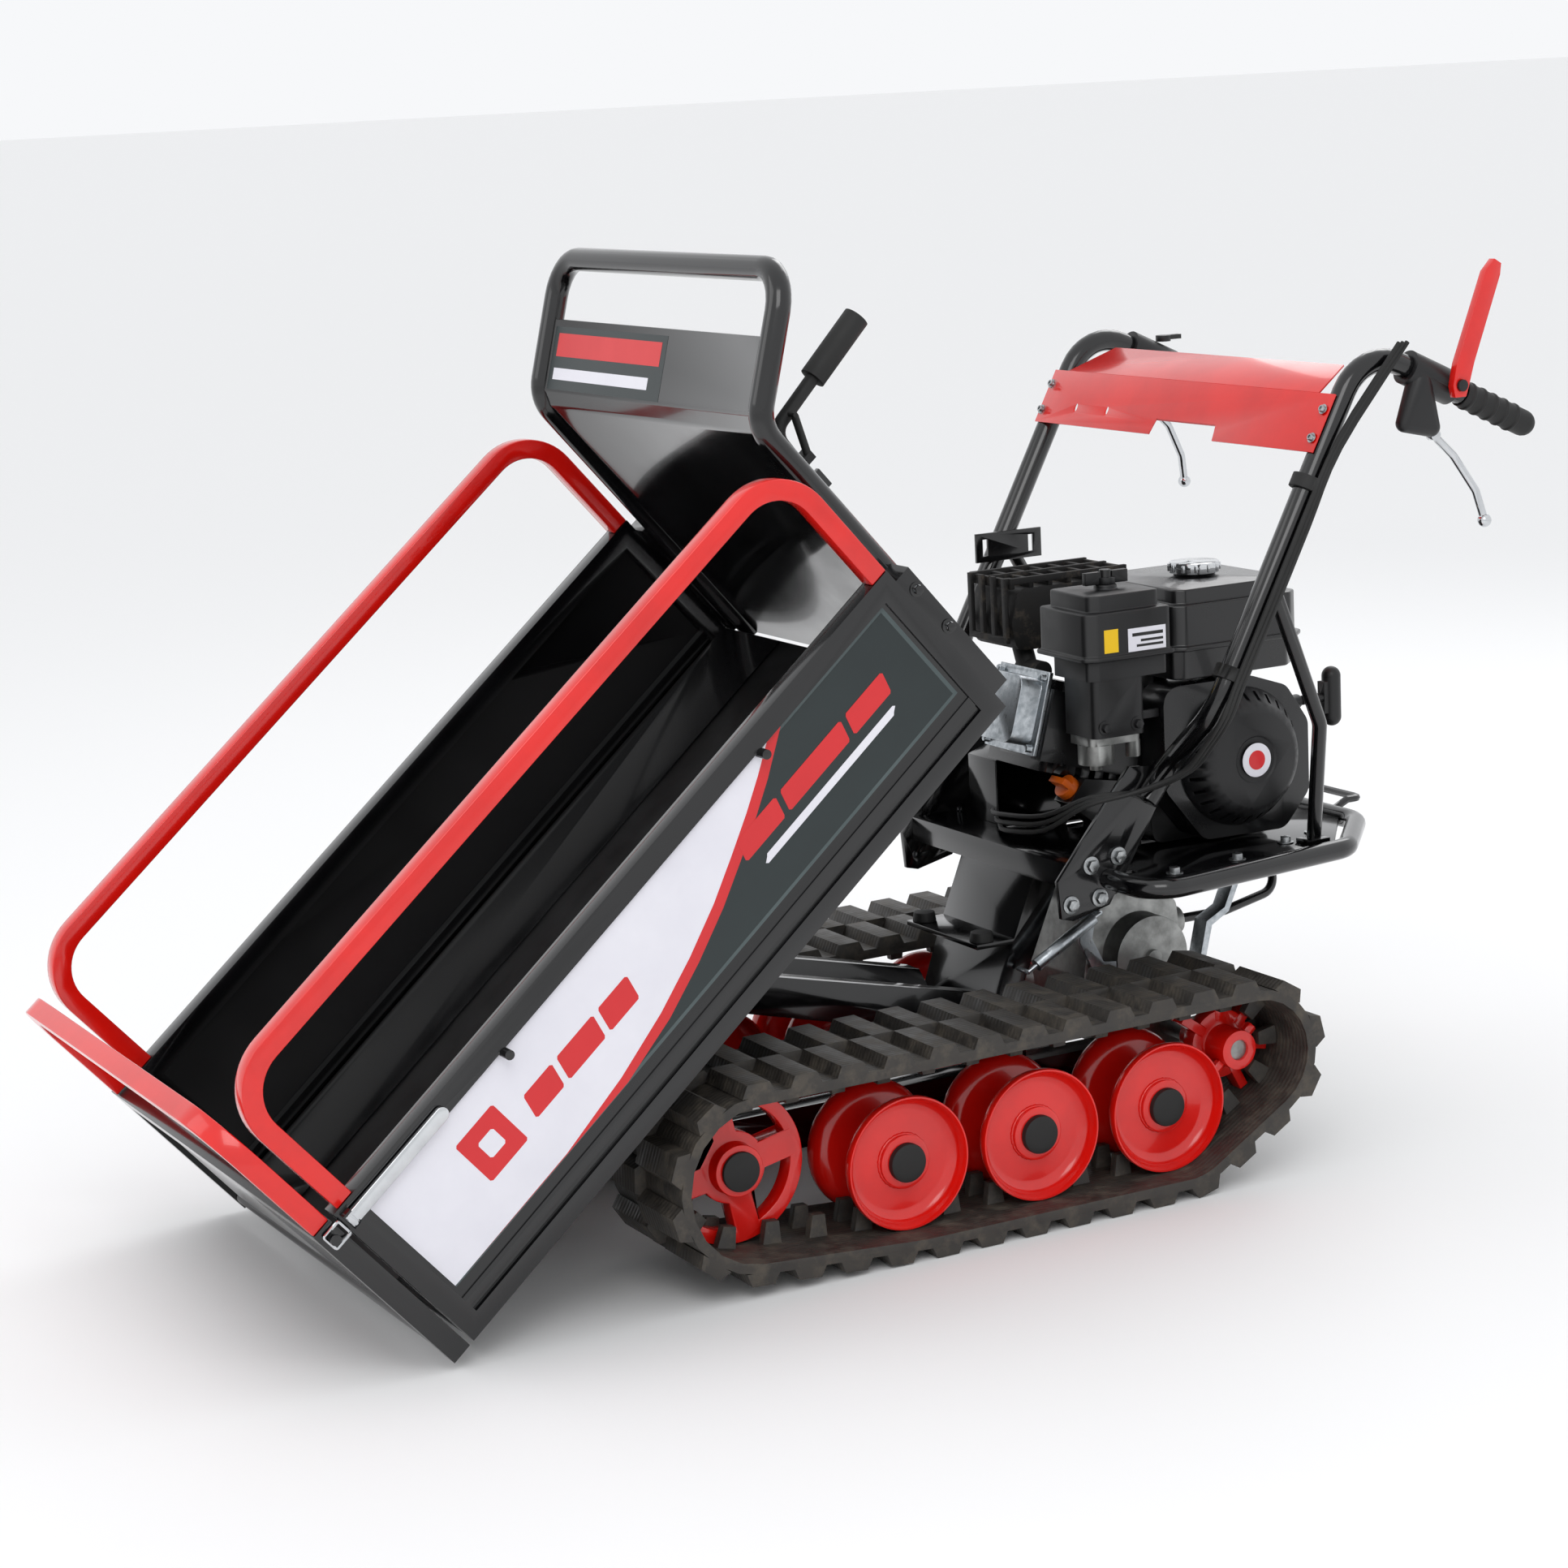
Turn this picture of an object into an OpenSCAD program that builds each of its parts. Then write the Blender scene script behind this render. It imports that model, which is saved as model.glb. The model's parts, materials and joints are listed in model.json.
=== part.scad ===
// Tracked power wheelbarrow: a walk-behind mini dumper with a tipping bed.
// +X is the dump end, +Y the machine's left, +Z up, ground at z = 0.
// Stations along X are measured from the middle roller and shifted by centre_x.

/* [Bed] */
// Length of a side panel along the bed
bed_len = 912; // [860:1:1060]
// Width over the outside of the side panels
bed_w = 672; // [640:1:800]
// Height of the side panels and the gate
panel_h = 223; // [190:1:270]
// Side of the square tube in the panel frames
post = 25; // [20:1:28]
// Thickness of the bed's sheet metal
sheet = 2; // [1.5:0.5:3]
// Gap between a side panel and the gate
gate_gap = 6; // [5.5:0.5:10]
// Height of the guard rails above the panels
rail_h = 188; // [160:1:235]
// Side of the square tube of the guard rails
rail_t = 23; // [18:1:25]
// Bend radius of the guard rails, on the centre line
rail_bend = 62; // [45:1:75]
// How far each side panel can slide outwards
side_travel = 120; // [80:1:140]

/* [Headboard] */
// Diameter of the headboard tube
head_tube_d = 28; // [22:1:32]
// Distance between the headboard tube centre lines
head_w = 566; // [500:1:590]
// Height of the kink in the headboard above the bed's underside
head_kink_z = 427; // [400:1:480]
// Length of the headboard above its kink
head_top_len = 170; // [150:1:210]
// Backward lean of the headboard above its kink, in degrees
head_lean = 55; // [35:1:58]

/* [Tipping] */
// Tip angle of the bed, in degrees
tip_angle = 40.8; // [35:0.1:42]
// Station of the tipping pivot
tip_x = 365; // [355:1:380]
// Height of the tipping pivot
tip_z = 318; // [312:1:330]
// Distance from the pivot to the bed's rear end
pivot_to_rear = 435; // [425:1:440]
// Height of the bed's underside over the pivot when the bed is level
bed_over_pivot = 30; // [30:1:40]
// Diameter of the pivot shaft
pivot_d = 24; // [20:1:28]

/* [Tracks] */
// Width of a rubber track
track_w = 180; // [160:1:180]
// Distance from the machine's centre plane to the centre of a track
track_y = 240; // [238:1:250]
// Thickness of the track carcass
belt_t = 12; // [10:0.5:14]
// Height of the tread lugs
lug_h = 13; // [10:0.5:16]
// Pitch asked for between lugs of one row
lug_pitch = 60; // [54:1:72]
// Height of the inner guide lugs
guide_h = 26; // [20:1:28]

/* [Wheels] */
// Distance between the rollers
roller_step = 179; // [172:1:184]
// Radius of a roller
roller_r = 79; // [74:0.5:80]
// Half the width of a roller over its two dishes
roller_half_w = 51; // [46:1:54]
// Radius of the idler
idler_r = 91; // [84:0.5:94]
// Station of the idler
idler_x = 386; // [380:1:400]
// Height of the idler's axle
idler_z = 130; // [122:1:136]
// Radius of the belt's inner face round the sprocket
sprocket_r = 70; // [66:0.5:74]
// Station of the sprocket
sprocket_x = -284; // [-300:1:-280]
// Height of the sprocket's shaft
sprocket_z = 156; // [150:1:160]
// Number of fingers on the sprocket
sprocket_fingers = 7; // [6:1:8]
// Diameter of the wheel axles
axle_d = 25; // [20:1:28]
// Radial clearance of a running bore
run_clear = 0.05; // [0.03:0.01:0.1]

/* [Chassis and deck] */
// Half the width over the handle brackets
bracket_y = 186; // [180:1:192]
// Thickness of the handle brackets
bracket_t = 7; // [5:1:8]
// Top of the engine deck plate
deck_z = 369; // [366:1:372]
// Thickness of the engine deck plate
deck_t = 4; // [3:0.5:5]
// Diameter of the tube round the deck
deck_tube_d = 25; // [20:1:28]
// Half the width of the deck tube's loop, at its front
deck_half_w = 282; // [270:1:290]

/* [Engine] */
// Station of the crankshaft
crank_x = -393; // [-400:1:-388]
// Height of the crankshaft over the engine's feet
crank_h = 106; // [100:1:110]
// Radius of the recoil starter cover's face
recoil_r = 64; // [58:1:70]

/* [Handles] */
// Distance between the handle tubes
handle_w = 588; // [560:1:620]
// Diameter of the handle tubes
handle_d = 28; // [25:1:30]
// Height of the hood's upper bolts
hood_z = 910; // [895:1:925]
// Length of the hand grips
grip_len = 103; // [90:1:120]

/* [Hidden] */
$fn = 48;

red = [0.86, 0.12, 0.08];
black = [0.08, 0.08, 0.08];
rubber = [0.24, 0.22, 0.20];
zinc = [0.72, 0.74, 0.76];
casting = [0.55, 0.54, 0.53];

slip = 0.3;            // gap left between faces of different pieces
eps = 0.01;

// Bed geometry, in the bed's own frame: x forward from its rear end, z up.
bed_half = bed_w/2;
gate_x = bed_len + gate_gap;
hinge_x = gate_x + post/2;
hinge_z = post/2;
floor_z = 24;                       // top of the fixed floor
slide_z = floor_z + slip;           // underside of the sliding floor wings
wing_w = 150;                       // width of a sliding floor wing
head_y = head_w/2;
rail_top = panel_h + rail_h;
sub_h = 38;                         // height of the bed's under-frame
sub_y = 112;                        // place of its long tubes

// Extents along X, used to centre the machine on the origin
gate_top = rail_top - 17;           // top of the gate's rail
front_end = tip_x + (gate_x + post/2 + rail_t/2 - pivot_to_rear)*cos(tip_angle)
    + (gate_top + bed_over_pivot)*sin(tip_angle);

// Handle tube: straight riser, bend, then a straight run down to the grip
handle_y = handle_w/2;
riser_slope = 61.4;                 // degrees above the horizontal
grip_slope = 25;                    // degrees below the horizontal
handle_bend = 62;
hood_x = -441;
corner_up = 72;                     // rise from the hood's upper bolts to the bend's corner
corner = [hood_x - corner_up/tan(riser_slope), handle_y, hood_z + corner_up];
kink = [hood_x + (hood_z - 575)/tan(riser_slope), handle_y, 575];
grip_start = 160;                   // distance along the run from the corner to the grip
grip_r = handle_d/2 + 2;
function run_point(d) = corner + d*[-cos(grip_slope), 0, -sin(grip_slope)];
function riser_point(z) = [hood_x + (hood_z - z)/tan(riser_slope), handle_y, z];
rear_end = run_point(grip_start + grip_len)[0] - grip_r;
centre_x = -(front_end + rear_end)/2;

// Tracks
inner_z = belt_t + lug_h;
roller_z = inner_z + roller_r;
track_out = track_y + track_w/2;
track_in = track_y - track_w/2;
guide_gap = 15;                     // half the space between the two guide rows
guide_w = 11;
beam_y = track_in - 34;             // outer face of the side beams

// Engine
foot_z = deck_z + 6;
crank_z = foot_z + crank_h;
recoil_y = 185;                     // face of the recoil cover
shroud_y = 146;                     // face of the fan shroud
block_in = -58;                     // drive side of the crankcase

// ---------------------------------------------------------------- helpers
function unit(v) = v/norm(v);
function flip(p) = [p[0], -p[1], p[2]];
function mirrored(path, side) = [for (p = path) side > 0 ? p : flip(p)];

// Outline with each corner rounded to radius r by an arc of n steps
function corner_arc(a, b, c, r, n) =
    let (u = unit(a - b), v = unit(c - b), half = acos(u*v)/2,
         t = r/tan(half), m = unit(u + v)*r/sin(half), o = b + m,
         p = b + u*t - o, q = b + v*t - o,
         a0 = atan2(p[1], p[0]), turn = atan2(p[0]*q[1] - p[1]*q[0], p*q))
    [for (i = [0:n]) o + r*[cos(a0 + turn*i/n), sin(a0 + turn*i/n)]];
function rounded(pts, r, n = 4) = let (k = len(pts))
    [for (i = [0:k - 1]) each corner_arc(pts[(i + k - 1)%k], pts[i], pts[(i + 1)%k], r, n)];

// Block between two opposite corners
module block(a, b) { translate(a) cube(b - a); }
// Flat piece with its outline in the XZ plane, from y0 to y1
module slab_y(pts, y0, y1) {
    translate([0, y1, 0]) rotate([90, 0, 0]) linear_extrude(y1 - y0) polygon(pts);
}
// Flat piece with its outline in the XY plane, from z0 to z1
module slab_z(pts, z0, z1) { translate([0, 0, z0]) linear_extrude(z1 - z0) polygon(pts); }
// Round bar along Y
module bar_y(x, z, y0, y1, r) { translate([x, y0, z]) rotate([-90, 0, 0]) cylinder(h = y1 - y0, r = r); }
// Places a child, made along +Z, so that it points along v from p
module aim(p, v) {
    translate(p) rotate([0, acos(v[2]/norm(v)), atan2(v[1], v[0])]) children();
}
module bar(p, q, r) { aim(p, q - p) cylinder(h = norm(q - p), r = r); }

// Frame at bend i of a path: centre, start direction, heading and turn angle
function bend_at(path, i, r) =
    let (a = unit(path[i] - path[i - 1]), b = unit(path[i + 1] - path[i]), turn = acos(a*b),
         k = unit(b - a*(a*b)), c = path[i] - a*r*tan(turn/2) + k*r)
    [c, -k, a, turn];
function bend_cut(path, i, r) = i <= 0 || i >= len(path) - 1 ? 0
    : let (a = unit(path[i] - path[i - 1]), b = unit(path[i + 1] - path[i])) r*tan(acos(a*b)/2);
module bend_frame(f) {
    z = cross(f[1], f[2]);
    multmatrix([[f[1][0], f[2][0], z[0], f[0][0]], [f[1][1], f[2][1], z[1], f[0][1]],
        [f[1][2], f[2][2], z[2], f[0][2]], [0, 0, 0, 1]]) children();
}
// Points with their headings along a path whose corners are rounded to radius bend
function rounded_path(path, bend, n) = let (m = len(path) - 1) concat(
    [[path[0], unit(path[1] - path[0])]],
    [for (i = [1:1:m - 1]) let (f = bend_at(path, i, bend)) for (j = [0:n]) let (a = f[3]*j/n)
        [f[0] + bend*(f[1]*cos(a) + f[2]*sin(a)), f[2]*cos(a) - f[1]*sin(a)]],
    [[path[m], unit(path[m] - path[m - 1])]]);
// Side vectors carried along a path without twist
function carried(k, i = 0, s = undef) =
    let (d = k[i][1], v = is_undef(s) ? cross(d, abs(d[2]) > 0.9 ? [1, 0, 0] : [0, 0, 1]) : s - d*(s*d),
         u = unit(v))
    i == len(k) - 1 ? [u] : concat([u], carried(k, i + 1, u));
// Closed sweep of a round section through points with headings
module sweep_round(k, r, n) {
    m = len(k);
    side = carried(k);
    pts = [for (i = [0:m - 1]) for (j = [0:n - 1])
        k[i][0] + r*(cos(360*j/n)*side[i] + sin(360*j/n)*cross(side[i], k[i][1]))];
    walls = [for (i = [0:m - 2]) for (j = [0:n - 1])
        [i*n + j, i*n + (j + 1)%n, (i + 1)*n + (j + 1)%n, (i + 1)*n + j]];
    polyhedron(pts, concat(walls, [[for (j = [n - 1:-1:0]) j]],
        [[for (j = [0:n - 1]) (m - 1)*n + j]]), convexity = 8);
}
// Round tube along a path, with bends of radius bend
module tube(path, r, bend, n = 12) { sweep_round(rounded_path(path, bend, 6), r, n); }
// Square tube along a flat path whose plane has the normal n
module square_tube(path, w, bend, n) {
    for (i = [0:len(path) - 2]) {
        d = unit(path[i + 1] - path[i]);
        p = path[i] + d*bend_cut(path, i, bend);
        q = path[i + 1] - d*bend_cut(path, i + 1, bend);
        s = cross(n, d);
        multmatrix([[s[0], n[0], -d[0], q[0]], [s[1], n[1], -d[1], q[1]],
            [s[2], n[2], -d[2], q[2]], [0, 0, 0, 1]])
            translate([-w/2, -w/2, 0]) cube([w, w, norm(q - p)]);
    }
    for (i = [1:1:len(path) - 2]) {
        f = bend_at(path, i, bend);
        bend_frame(f) rotate_extrude(angle = f[3]) translate([bend, 0]) square(w, center = true);
    }
}
// Thin cable through route points
module cable(route, r, n = 8) {
    m = len(route);
    sweep_round([for (i = [0:m - 1])
        [route[i], unit(route[min(i + 1, m - 1)] - route[max(i - 1, 0)])]], r, n);
}
// Smooth route through a few chosen points
function spline(p, i, t) =
    let (n = len(p), a = p[max(i - 1, 0)], b = p[i], c = p[min(i + 1, n - 1)], d = p[min(i + 2, n - 1)])
    0.5*(2*b + (c - a)*t + (2*a - 5*b + 4*c - d)*t*t + (3*b - a - 3*c + d)*t*t*t);
function smooth(p, k = 4) =
    concat([for (i = [0:len(p) - 2]) for (j = [0:k - 1]) spline(p, i, j/k)], [p[len(p) - 1]]);

// Hex head bolt along Y with its washer, head towards side
module bolt_y(x, z, y, side, r = 6.5) {
    translate([x, y, z]) rotate([-90*side, 0, 0]) {
        cylinder(h = 1.6, r = r*1.7);
        cylinder(h = 8, r = r*1.15, $fn = 6);
    }
}
module bolt_z(x, y, z, r = 6) {
    translate([x, y, z]) {
        cylinder(h = 1.6, r = r*1.7);
        cylinder(h = 8, r = r*1.15, $fn = 6);
    }
}

module placed() { translate([centre_x, 0, 0]) children(); }
// Moves from the bed's own frame to its tipped place
module on_bed() {
    placed() translate([tip_x, 0, tip_z]) rotate([0, tip_angle, 0])
        translate([-pivot_to_rear, 0, bed_over_pivot]) children();
}
module both_sides() { for (s = [1, -1]) scale_y(s) children(); }
module scale_y(s) { if (s > 0) children(); else mirror([0, 1, 0]) children(); }

// ---------------------------------------------------------------- tracks
// The track's pitch line runs round four circles, anticlockwise seen from -Y
pitch = belt_t/2;
wheels = [[idler_x, idler_z, idler_r + pitch], [sprocket_x, sprocket_z, sprocket_r + pitch],
    [-roller_step, roller_z, roller_r + pitch], [roller_step, roller_z, roller_r + pitch]];
function leave(i) = let (a = wheels[i%4], b = wheels[(i + 1)%4], dx = b[0] - a[0], dz = b[1] - a[1])
    atan2(dz, dx) - acos((a[2] - b[2])/norm([dx, dz]));
function sweep_deg(i) = let (d = leave(i) - leave(i + 3)) d < 0 ? d + 360 : d%360;
function rim(i, a) = [wheels[i%4][0] + wheels[i%4][2]*cos(a), wheels[i%4][1] + wheels[i%4][2]*sin(a)];
seg_len = [for (i = [0:3]) each [wheels[i][2]*sweep_deg(i)*PI/180,
    norm(rim(i + 1, leave(i)) - rim(i, leave(i)))]];
track_len = seg_len*[1, 1, 1, 1, 1, 1, 1, 1];
lug_count = round(track_len/lug_pitch);
lug_step = track_len/lug_count;
// Point and outward angle at a distance s along the pitch line
function station(s, i = 0) = i == 7 || s <= seg_len[i] ?
    (i%2 == 0 ? let (k = i/2, a = leave(k + 3) + s/wheels[k][2]*180/PI) [rim(k, a), a]
        : let (k = (i - 1)/2, a = leave(k)) [rim(k, a) + s*[-sin(a), cos(a)], a])
    : station(s - seg_len[i], i + 1);
function out_at(s, t, o) = let (q = station(s), a = q[1])
    q[0] + t*[-sin(a), cos(a)] + o*[cos(a), sin(a)];
arc_steps = 10;
function loop(o) = [for (i = [0:3]) for (j = [0:arc_steps])
    let (a = leave(i + 3) + sweep_deg(i)*j/arc_steps) rim(i, a) + o*[cos(a), sin(a)]];
// Side outline of one lug or guide: half lengths at its foot and its crest
function tooth(s, foot, crest, o0, o1) =
    [out_at(s, -foot, o0), out_at(s, foot, o0), out_at(s, crest, o1), out_at(s, -crest, o1)];
module belt_ring() {
    difference() {
        polygon(loop(pitch));
        polygon(loop(-pitch));
    }
}
module lug_row(shift) {
    for (k = [0:lug_count - 1])
        polygon(tooth(((k + shift)%lug_count)*lug_step, 21, 14, pitch - 2, pitch + lug_h));
}
module guide_row() {
    for (k = [0:lug_count - 1])
        polygon(tooth((k + 0.25)*lug_step, 12, 8, -pitch + 2, -pitch - guide_h));
}
// One slice of the track across its width
module slice(y0, y1, shift, guides) {
    translate([0, y1, 0]) rotate([90, 0, 0]) linear_extrude(y1 - y0) {
        belt_ring();
        lug_row(shift);
        if (guides) guide_row();
    }
}
module track() {
    color(rubber) {
        slice(track_in, track_y - guide_gap - guide_w, 0.5, false);
        slice(track_y - guide_gap - guide_w, track_y - guide_gap, 0.5, true);
        slice(track_y - guide_gap, track_y, 0.5, false);
        slice(track_y, track_y + guide_gap, 0, false);
        slice(track_y + guide_gap, track_y + guide_gap + guide_w, 0, true);
        slice(track_y + guide_gap + guide_w, track_out, 0, false);
    }
}
module track_left() { placed() track(); }
module track_right() { placed() scale_y(-1) track(); }

// ---------------------------------------------------------------- wheels
cap_r = 23;
hub_r = 30;
disc = 4;                           // plate thickness of the wheels
bore_r = axle_d/2 + run_clear;
// Half section of a roller: r outwards, w along the axle from the middle
fillet = 18;
function dish(side) = let (w = roller_half_w - slip, r = roller_r - slip, e = 5)
    concat([[r, w*side], [r, (w - e)*side]],
        [for (i = [0:5]) let (a = 90*i/5) [r - fillet + fillet*cos(a), (w - e - fillet*sin(a))*side]],
        [[hub_r - 4, (w - e - fillet)*side], [hub_r - 4, (w - e - fillet + disc)*side]],
        [for (i = [5:-1:0]) let (a = 90*i/5)
            [r - fillet + (fillet - disc)*cos(a), (w - e - (fillet - disc)*sin(a))*side]],
        [[r - disc, w*side]]);
module roller(x) {
    placed() translate([x, track_y, roller_z]) rotate([-90, 0, 0]) {
        color(red) rotate_extrude() {
            polygon(dish(1));
            polygon(dish(-1));
            translate([bore_r, -roller_half_w + 2]) square([hub_r - bore_r, 2*roller_half_w - 8]);
        }
        color(black) translate([0, 0, roller_half_w - 6 + slip]) cylinder(h = 5, r = cap_r);
    }
}
spoke_w = 30;
rim_w = 24;                         // width of the idler's rim
idler_play = 1.3;                   // clears the flats of the belt's inner face
module idler() {
    placed() translate([idler_x, track_y, idler_z]) rotate([-90, 0, 0]) {
        color(red) difference() {
            union() {
                difference() {
                    translate([0, 0, -rim_w/2]) cylinder(h = rim_w, r = idler_r - idler_play);
                    translate([0, 0, -rim_w/2 - 1]) cylinder(h = rim_w + 2, r = idler_r - 17);
                }
                translate([0, 0, -rim_w/2]) cylinder(h = rim_w, r = 42);
                for (a = [0:90:270]) rotate([0, 0, a + 12]) translate([35, -spoke_w/2, -rim_w/2])
                    cube([idler_r - 45, spoke_w, rim_w]);
                translate([0, 0, -30]) cylinder(h = 60, r = hub_r);
            }
            translate([0, 0, -40]) cylinder(h = 80, r = bore_r);
        }
        color(black) translate([0, 0, 30 + slip]) cylinder(h = 5, r = cap_r);
    }
}
finger_r = sprocket_r - 3;
finger_w = 24;
module sprocket() {
    placed() translate([sprocket_x, track_y, sprocket_z]) rotate([-90, 0, 0]) {
        color(red) difference() {
            union() {
                translate([0, 0, -10]) cylinder(h = 20, r = 42);
                for (k = [0:sprocket_fingers - 1]) rotate([0, 0, 360*(k + 0.3)/sprocket_fingers])
                    translate([30, -finger_w/4, -11]) cube([finger_r - 30, finger_w/2, 22]);
                translate([0, 0, -44]) cylinder(h = 92, r = 24);
            }
            translate([0, 0, -60]) cylinder(h = 120, r = bore_r);
        }
        color(zinc) for (a = [40, 220]) rotate([0, 0, a]) translate([24 + slip, 0, 34])
            rotate([0, 90, 0]) cylinder(h = 12, r = 7, $fn = 6);
    }
}
module sprocket_left() { sprocket(); }
module sprocket_right() { scale_y(-1) sprocket(); }
module idler_left() { idler(); }
module idler_right() { scale_y(-1) idler(); }
module roller_front_left() { roller(roller_step); }
module roller_middle_left() { roller(0); }
module roller_rear_left() { roller(-roller_step); }
module roller_front_right() { scale_y(-1) roller(roller_step); }
module roller_middle_right() { scale_y(-1) roller(0); }
module roller_rear_right() { scale_y(-1) roller(-roller_step); }

// ---------------------------------------------------------------- chassis
cross_x0 = -175;
cross_x1 = -115;
cross_z1 = 391;
cross_z0 = 361;
column_y = 84;
shelf_z = 284;
beam_x0 = sprocket_x + 52;
beam_x1 = idler_x + 28;
beam_z0 = 88;
beam_z1 = 138;
arm_y = 92;                         // outer face of the arms that carry the bed
arm_t = 30;
module wheel_axle(x, z, end) { bar_y(x, z, beam_y - eps, end, axle_d/2); }
module chassis_frame() {
    placed() color(black) {
        block([cross_x0, -bracket_y + bracket_t, cross_z0], [cross_x1, bracket_y - bracket_t, cross_z1]);
        // Folded sheet column and the shelf for the bump stops
        slab_y([[-170, 361], [-131, 361], [-99, shelf_z], [-46, shelf_z], [-46, shelf_z - 6],
            [-96, shelf_z - 6], [-60, 180], [-90, 180]], -column_y, column_y);
        // Cross member that ties the column to the two side beams
        block([-90, -beam_y, beam_z1 - eps], [-40, beam_y, 180 + eps]);
        both_sides() {
            block([beam_x0, beam_y - 40, beam_z0], [beam_x1, beam_y, beam_z1]);
            // Arm from the column up to the tipping pivot
            slab_y([[-70, 178], [-20, 178], [tip_x - 40, tip_z - 50], [tip_x + 22, tip_z - 50],
                [tip_x + 22, tip_z + 8], [tip_x + 8, tip_z + 22], [tip_x - 12, tip_z + 22],
                [tip_x - 50, tip_z - 6], [-48, 225]], arm_y - arm_t, arm_y);
            slab_y([[idler_x - 60, beam_z1 - eps], [idler_x - 20, beam_z1 - eps],
                [idler_x - 20, tip_z - 50 + eps], [idler_x - 60, tip_z - 50 + eps]], arm_y - arm_t, arm_y);
            block([idler_x - 60, arm_y - 2, beam_z1 - eps], [idler_x - 20, beam_y, beam_z1 + 30]);
            for (i = [-1:1]) wheel_axle(i*roller_step, roller_z, track_y + roller_half_w - 8);
            wheel_axle(idler_x, idler_z, track_y + 29);
        }
        bar_y(tip_x, tip_z, -arm_y - 34, arm_y + 34, pivot_d/2);
        // Rear hanger of the gearbox, between the column and the deck
        both_sides() slab_y([[-176, cross_z0 + 2], [-140, cross_z0 + 2], [-112, 300], [-112, 180],
            [-90, 176], [-90, 300]], column_y - eps, column_y + 5);
    }
}
stop_x = -62;                       // place of the rubber stops for the level bed
stop_y = 68;
stop_h = 12;
module bump_stops() {
    placed() color(rubber) both_sides()
        translate([stop_x, stop_y, shelf_z + eps]) cylinder(h = stop_h - eps, r1 = 15, r2 = 13);
}

// ---------------------------------------------------------------- deck
deck_r = deck_tube_d/2;
rail_x = -172;                      // the rail's front run, beside the brackets
rail_z = deck_z - 3;
rail_back = -592;
function half_loop(s) = [[rail_x, s*(bracket_y + 1), rail_z], [rail_x, s*deck_half_w, rail_z],
    [-488, s*(deck_half_w - 46), rail_z], [rail_back, s*120, rail_z]];
module deck_rail() {
    left = half_loop(1);
    placed() color(black) {
        tube(concat(half_loop(-1), [left[3], left[2], left[1], left[0]]), deck_r, 50);
        // Gate loop for the gear lever, behind the deck
        tube([[rail_back, -60, rail_z], [rail_back - 30, -60, rail_z + 14], [rail_back - 50, -60, rail_z + 14],
            [rail_back - 50, 60, rail_z + 14], [rail_back - 30, 60, rail_z + 14],
            [rail_back, 60, rail_z]], 5, 8, 8);
    }
}
deck_edge = deck_r + slip;
gear_slot = [-560, -30];
deck_side = [[rail_x - deck_edge, 205], [rail_x - deck_edge - 36, deck_half_w - deck_edge - 22],
    [-440, deck_half_w - 60], [-486, deck_half_w - 68], [rail_back + deck_edge, 100]];
module engine_deck() {
    placed() color(black) difference() {
        slab_z([for (p = concat(deck_side, [for (i = [len(deck_side) - 1:-1:0]) [deck_side[i][0], -deck_side[i][1]]])) p],
            deck_z - deck_t, deck_z);
        // Notches for the handle brackets, and a slot for the belt
        for (s = [1, -1]) translate([rail_x - 40, s*(bracket_y - bracket_t/2) - bracket_t/2 - 3, deck_z - 20])
            cube([60, bracket_t + 6, 40]);
        block([crank_x - 8, belt_y1 - 25, deck_z - 20], [pulley_x + 20, belt_y1 - 5, deck_z + 20]);
        // Slot for the gear lever
        block([gear_slot[0] - 16, gear_slot[1] - 40, 300], [gear_slot[0] + 16, gear_slot[1] + 40, 420]);
    }
    // Feet under the engine
    placed() color(black) for (y = [-50, 50]) block([-480, y - 16, deck_z - eps], [-300, y + 16, foot_z]);
}

// ---------------------------------------------------------------- gearbox and drive
gear_x = sprocket_x;
module gearbox() {
    placed() {
        color(casting) difference() {
            union() {
                slab_y(rounded([[-345, 120], [-225, 120], [-212, 210], [-225, 300],
                    [-300, 322], [-352, 290], [-362, 200]], 16), -62, 62);
                bar_y(gear_x, sprocket_z, -beam_y - 22, beam_y + 22, 34);
                bar_y(-292, 232, 60, 96, 52);
                bar_y(-300, 272, -84, -60, 30);
                // Shaft of the brake arm, and the lug for the folded bracket
                bar_y(-222, 227, 61, 100 - slip, 5);
                block([-365.4, 46, 192], [-345, 62, 208]);
                translate([-362, 0, 246]) rotate([0, -90, 0]) cylinder(h = 34, r = 17);
            }
            bar_y(gear_x, sprocket_z, -400, 400, bore_r);
        }
        color(zinc) bar_y(gear_x, sprocket_z, -track_y - 44, track_y + 44, axle_d/2);
        color(casting) bar_y(-292, 232, 96 + slip, 102, 10);
    }
}
module gearbox_linkage() {
    placed() color(zinc) {
        // Bracket folded in a Z that hangs the gearbox from the deck
        slab_y([[-368, 196], [-386, 206], [-398, 252], [-424, 266], [-440, 300], [-444, 364.6],
            [-436, 364.6], [-432, 302], [-418, 272], [-390, 258], [-378, 208], [-366, 204]], 48, 74);
        // Brake arm and the spring that pulls it back
        slab_y([[-206, 306], [-186, 318], [-180, 270], [-206, 216], [-232, 216], [-232, 238],
            [-214, 240], [-198, 272]], 100, 105);
        bar([-196, 112, 300], [-112, 112, 254], 8);
        bar([-206, 112, 305], [-196, 112, 300], 2.5);
        bar_y(-206, 305, 98, 113, 3);
        bar([-112, 112, 254], [-100, 112, 247.5], 2.5);
        bar_y(-100, 247.5, column_y + 5 + slip, 113, 3);
    }
}
pulley_x = -300;
pulley_z = 272;
belt_y0 = -122;
belt_y1 = -92;
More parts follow.
